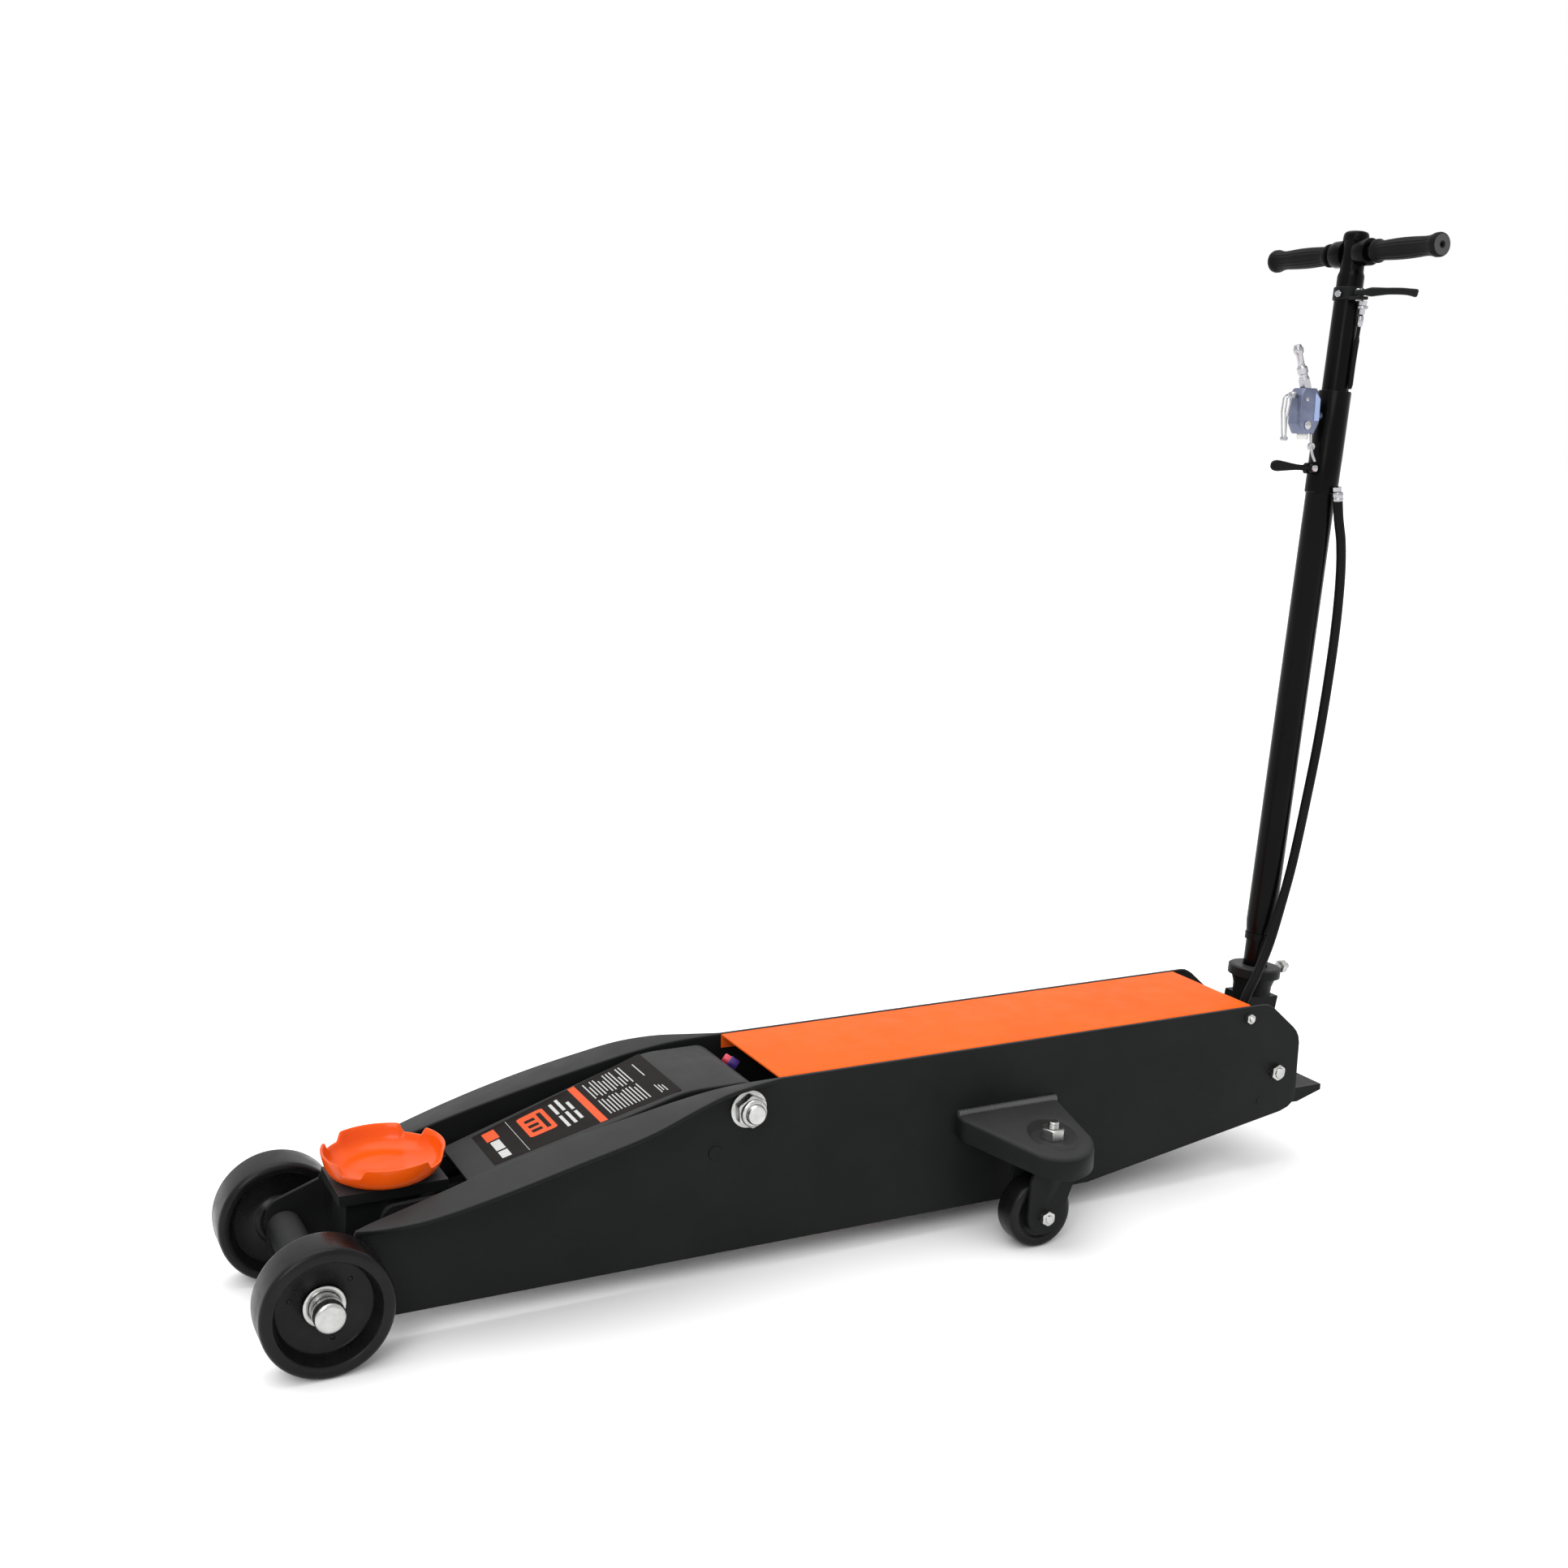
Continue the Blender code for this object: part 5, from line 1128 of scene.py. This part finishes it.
def air_valve():
    """Faceted valve block on a stand-off, quick-connect nipple, side screws and the wire-framed trigger."""
    bm = bmesh.new()
    outline = [(1454, 1090), (1462, 1076), (1482, 1076), (1490, 1090), (1490, 1126), (1482, 1140),
               (1460, 1140), (1454, 1130)]
    inner = rounded(outline, 1.0, 2)
    loops = []
    for y, shrink in ((-13, 2.4), (-12.2, 0.8), (-9, 0.0), (9, 0.0), (12.2, 0.8), (13, 2.4)):
        mid = Vector((1472, 1108))
        loops.append([(mid.x + (px - mid.x) * (1 - shrink / 18), y,
                       mid.y + (pz - mid.y) * (1 - shrink / 32)) for px, pz in inner])
    loft(bm, loops)
    far = handle_point(1101).x - 22.6
    lathe(bm, [(0, 0), (8, 0), (8, 5), (6.2, 6), (6.2, far - 1486 + 1), (0, far - 1486 + 1)],
          (1486, 0, 1101), (1, 0, 0), 40)
    piece("valve_block", bm, "handle", "valve_grey", replaces=("air_valve",), bevel=0.5, sharp=25)
    bm = bmesh.new()
    facet = rounded([(1479, 1094), (1488, 1094), (1488, 1125), (1479, 1134)], 1.0, 3)
    loft(bm, [[(px, y, pz) for px, pz in facet] for y in (-13.5, -12.9)])
    piece("valve_side_plate", bm, "handle", material=EXTRA["valve_blue"])
    bm = bmesh.new()
    lathe(bm, [(0, 0), (7.2, 0), (7.8, 0.8), (7.8, 6.4), (6.6, 8.2), (0, 8.4)], (1472, 0, 1076.2),
          (0, 0, -1), 36)
    piece("valve_drain_cap", bm, "handle", material=EXTRA["fitting_white"])
    lean = Vector((-0.36, 0, 1)).normalized()
    foot = Vector((1474, 0, 1134))
    bm = bmesh.new()
    hex_head(bm, foot + lean * 5, lean, 14.6, 15, both=True)
    lathe(bm, [(0, 0), (6.8, 0), (6.8, 3), (6.0, 4), (6.0, 8), (7.4, 9), (7.4, 17), (5.2, 19.5), (4.6, 23),
               (4.6, 36), (6.6, 39), (6.9, 41), (6.9, 45), (5.6, 47), (5.2, 49.6), (4.4, 50.4), (0, 50.4)],
          foot + lean * 19.4, lean, 48)
    piece("quick_nipple", bm, "handle", "chrome")
    bm = bmesh.new()
    for y in (-13, 13):
        side = 1 if y > 0 else -1
        lathe(bm, [(0, 0), (5.6, 0), (6.2, 0.5), (6.2, 2.2), (4.6, 3.4), (0, 3.8)],
              (1468, y - side * 0.4, 1088), (0, side, 0), 36)
        lathe(bm, [(0, 0), (2.6, 0), (2.9, 0.3), (2.9, 1.6), (0, 1.9)], (1464, y - side * 0.4, 1124),
              (0, side, 0), 24)
    link = smooth_route([(1481, -7, 1078), (1480, -10, 1062), (1480, -14, 1048), (1484, -16, 1037)], 2.0)
    sweep(bm, link, 1.9, 12)
    lathe(bm, [(0, 0), (5, 0), (5.4, 0.5), (5.4, 4.5), (4.6, 5), (0, 5)], (1480, -13, 1058), (0, 1, 0), 28)
    piece("valve_fittings", bm, "handle", "chrome")
    pivot = (1449.0, 1130.0)
    x, z = pivot
    bm = bmesh.new()
    path = rounded([(x - 1, z + 1), (x - 13, z - 1), (x - 15, z - 24), (x - 12, z - 52), (x - 10, z - 63)],
                   8, 5, closed=False)
    back = rounded([(x - 1, z + 1), (x - 4, z - 14), (x - 8, z - 34), (x - 8, z - 54), (x - 10, z - 63)], 8,
                   5, closed=False)
    for y in (-3.6, 3.6):
        sweep(bm, [Vector((px, y, pz)) for px, pz in path], 1.15, 10)
    sweep(bm, [Vector((px, 0, pz)) for px, pz in back], 1.15, 10)
    lathe(bm, [(0, 0), (4.4, 0), (4.7, 0.4), (4.7, 9.6), (4.4, 10), (0, 10)], (x, -5, z), (0, 1, 0), 32)
    lathe(bm, [(0, 0), (2.6, 0), (2.9, 0.3), (2.9, 9.5), (2.6, 9.8), (0, 9.8)], (x - 10.6, -4.9, z - 61),
          (0, 1, 0), 28)
    piece("wire_trigger", bm, "trigger", "chrome", replaces=("valve_trigger",), sharp=50)


def hand_lever():
    """Turned drop-shaped grip on a short arm with a bright pivot screw."""
    x, y, z = HAND_LEVER
    start = Vector((x - 5, y, z + 0.3))
    heading = Vector((-1, 0, 0.06)).normalized()
    bm = bmesh.new()
    profile = [(0, 0), (3.6, 0), (4.0, 4), (4.2, 12), (4.0, 20), (4.3, 28), (5.3, 40), (6.8, 54), (7.8, 64),
               (7.9, 69), (7.0, 73.5), (5.0, 76.4), (2.4, 77.6), (0, 77.8)]
    lathe(bm, [(radius, depth * DROP_LEVER_STRETCH) for radius, depth in profile], start, heading, 48)
    lathe(bm, [(0, 0), (5.9, 0), (6.5, 0.8), (6.5, 7.8), (5.9, 8.6), (0, 8.6)], (x, y + 4.3, z), (0, -1, 0),
          40)
    low, high = span("hand_lever")
    for vert in bm.verts:
        vert.co.y = min(max(vert.co.y, low.y * MM), high.y * MM)
    piece("drop_lever", bm, "head_lever", "rubber", replaces=("hand_lever",), sharp=55)
    bm = bmesh.new()
    lathe(bm, [(0, 0), (5.2, 0), (5.4, 0.5), (4.6, 2.2), (2.4, 3.0), (0, 3.1)], (x, low.y, z), (0, -1, 0), 32)
    piece("drop_lever_screw", bm, "head_lever", "chrome")


def socket():
    refined("handle_socket", 1.8)
    low, high = span("handle_clamp_bolt")
    x, z = low.x, (low.z + high.z) / 2
    bm = bmesh.new()
    lathe(bm, threaded(5.0, high.x - low.x, 1.2, 1.0), (x, 0, z), (1, 0, 0), 36)
    hex_head(bm, (x + 10, 0, z), (1, 0, 0), 18.0, 9.0, bore=5.1, both=True)
    piece("socket_clamp_screw", bm, "handle", "zinc", replaces=("handle_clamp_bolt",))


# ---------------------------------------------------------------- everything
add_camera()
add_studio()
cords()
side_plates()
front_wheels()
pivot_bolts()
deck()
casters()
arm_top()
label()
saddle()
handle_tubes()
grips()
release_lever()
air_valve()
hand_lever()
socket()
for name, width in (("saddle_carrier", 1.4), ("arm_side_left", 1.0), ("arm_side_right", 1.0),
                    ("arm_crank", 1.2), ("levelling_link_left", 0.9), ("levelling_link_right", 0.9),
                    ("foot_pedal", 1.6), ("front_cross_tube", 0.8), ("link_pivot_shaft", 0.6),
                    ("saddle_pin", 0.8), ("link_pin", 0.6), ("hydraulic_cylinder", 0.8),
                    ("cylinder_bulkhead", 0.9), ("pump_body", 1.6), ("pump_base_plate", 0.9),
                    ("air_motor", 0.6), ("cylinder_gland", 0.6)):
    refined(name, width)
for name, cad in frame["nodes"].items():
    cad.data.materials.clear()
    cad.data.materials.append(MATERIALS[NODE_SLOT[name]])
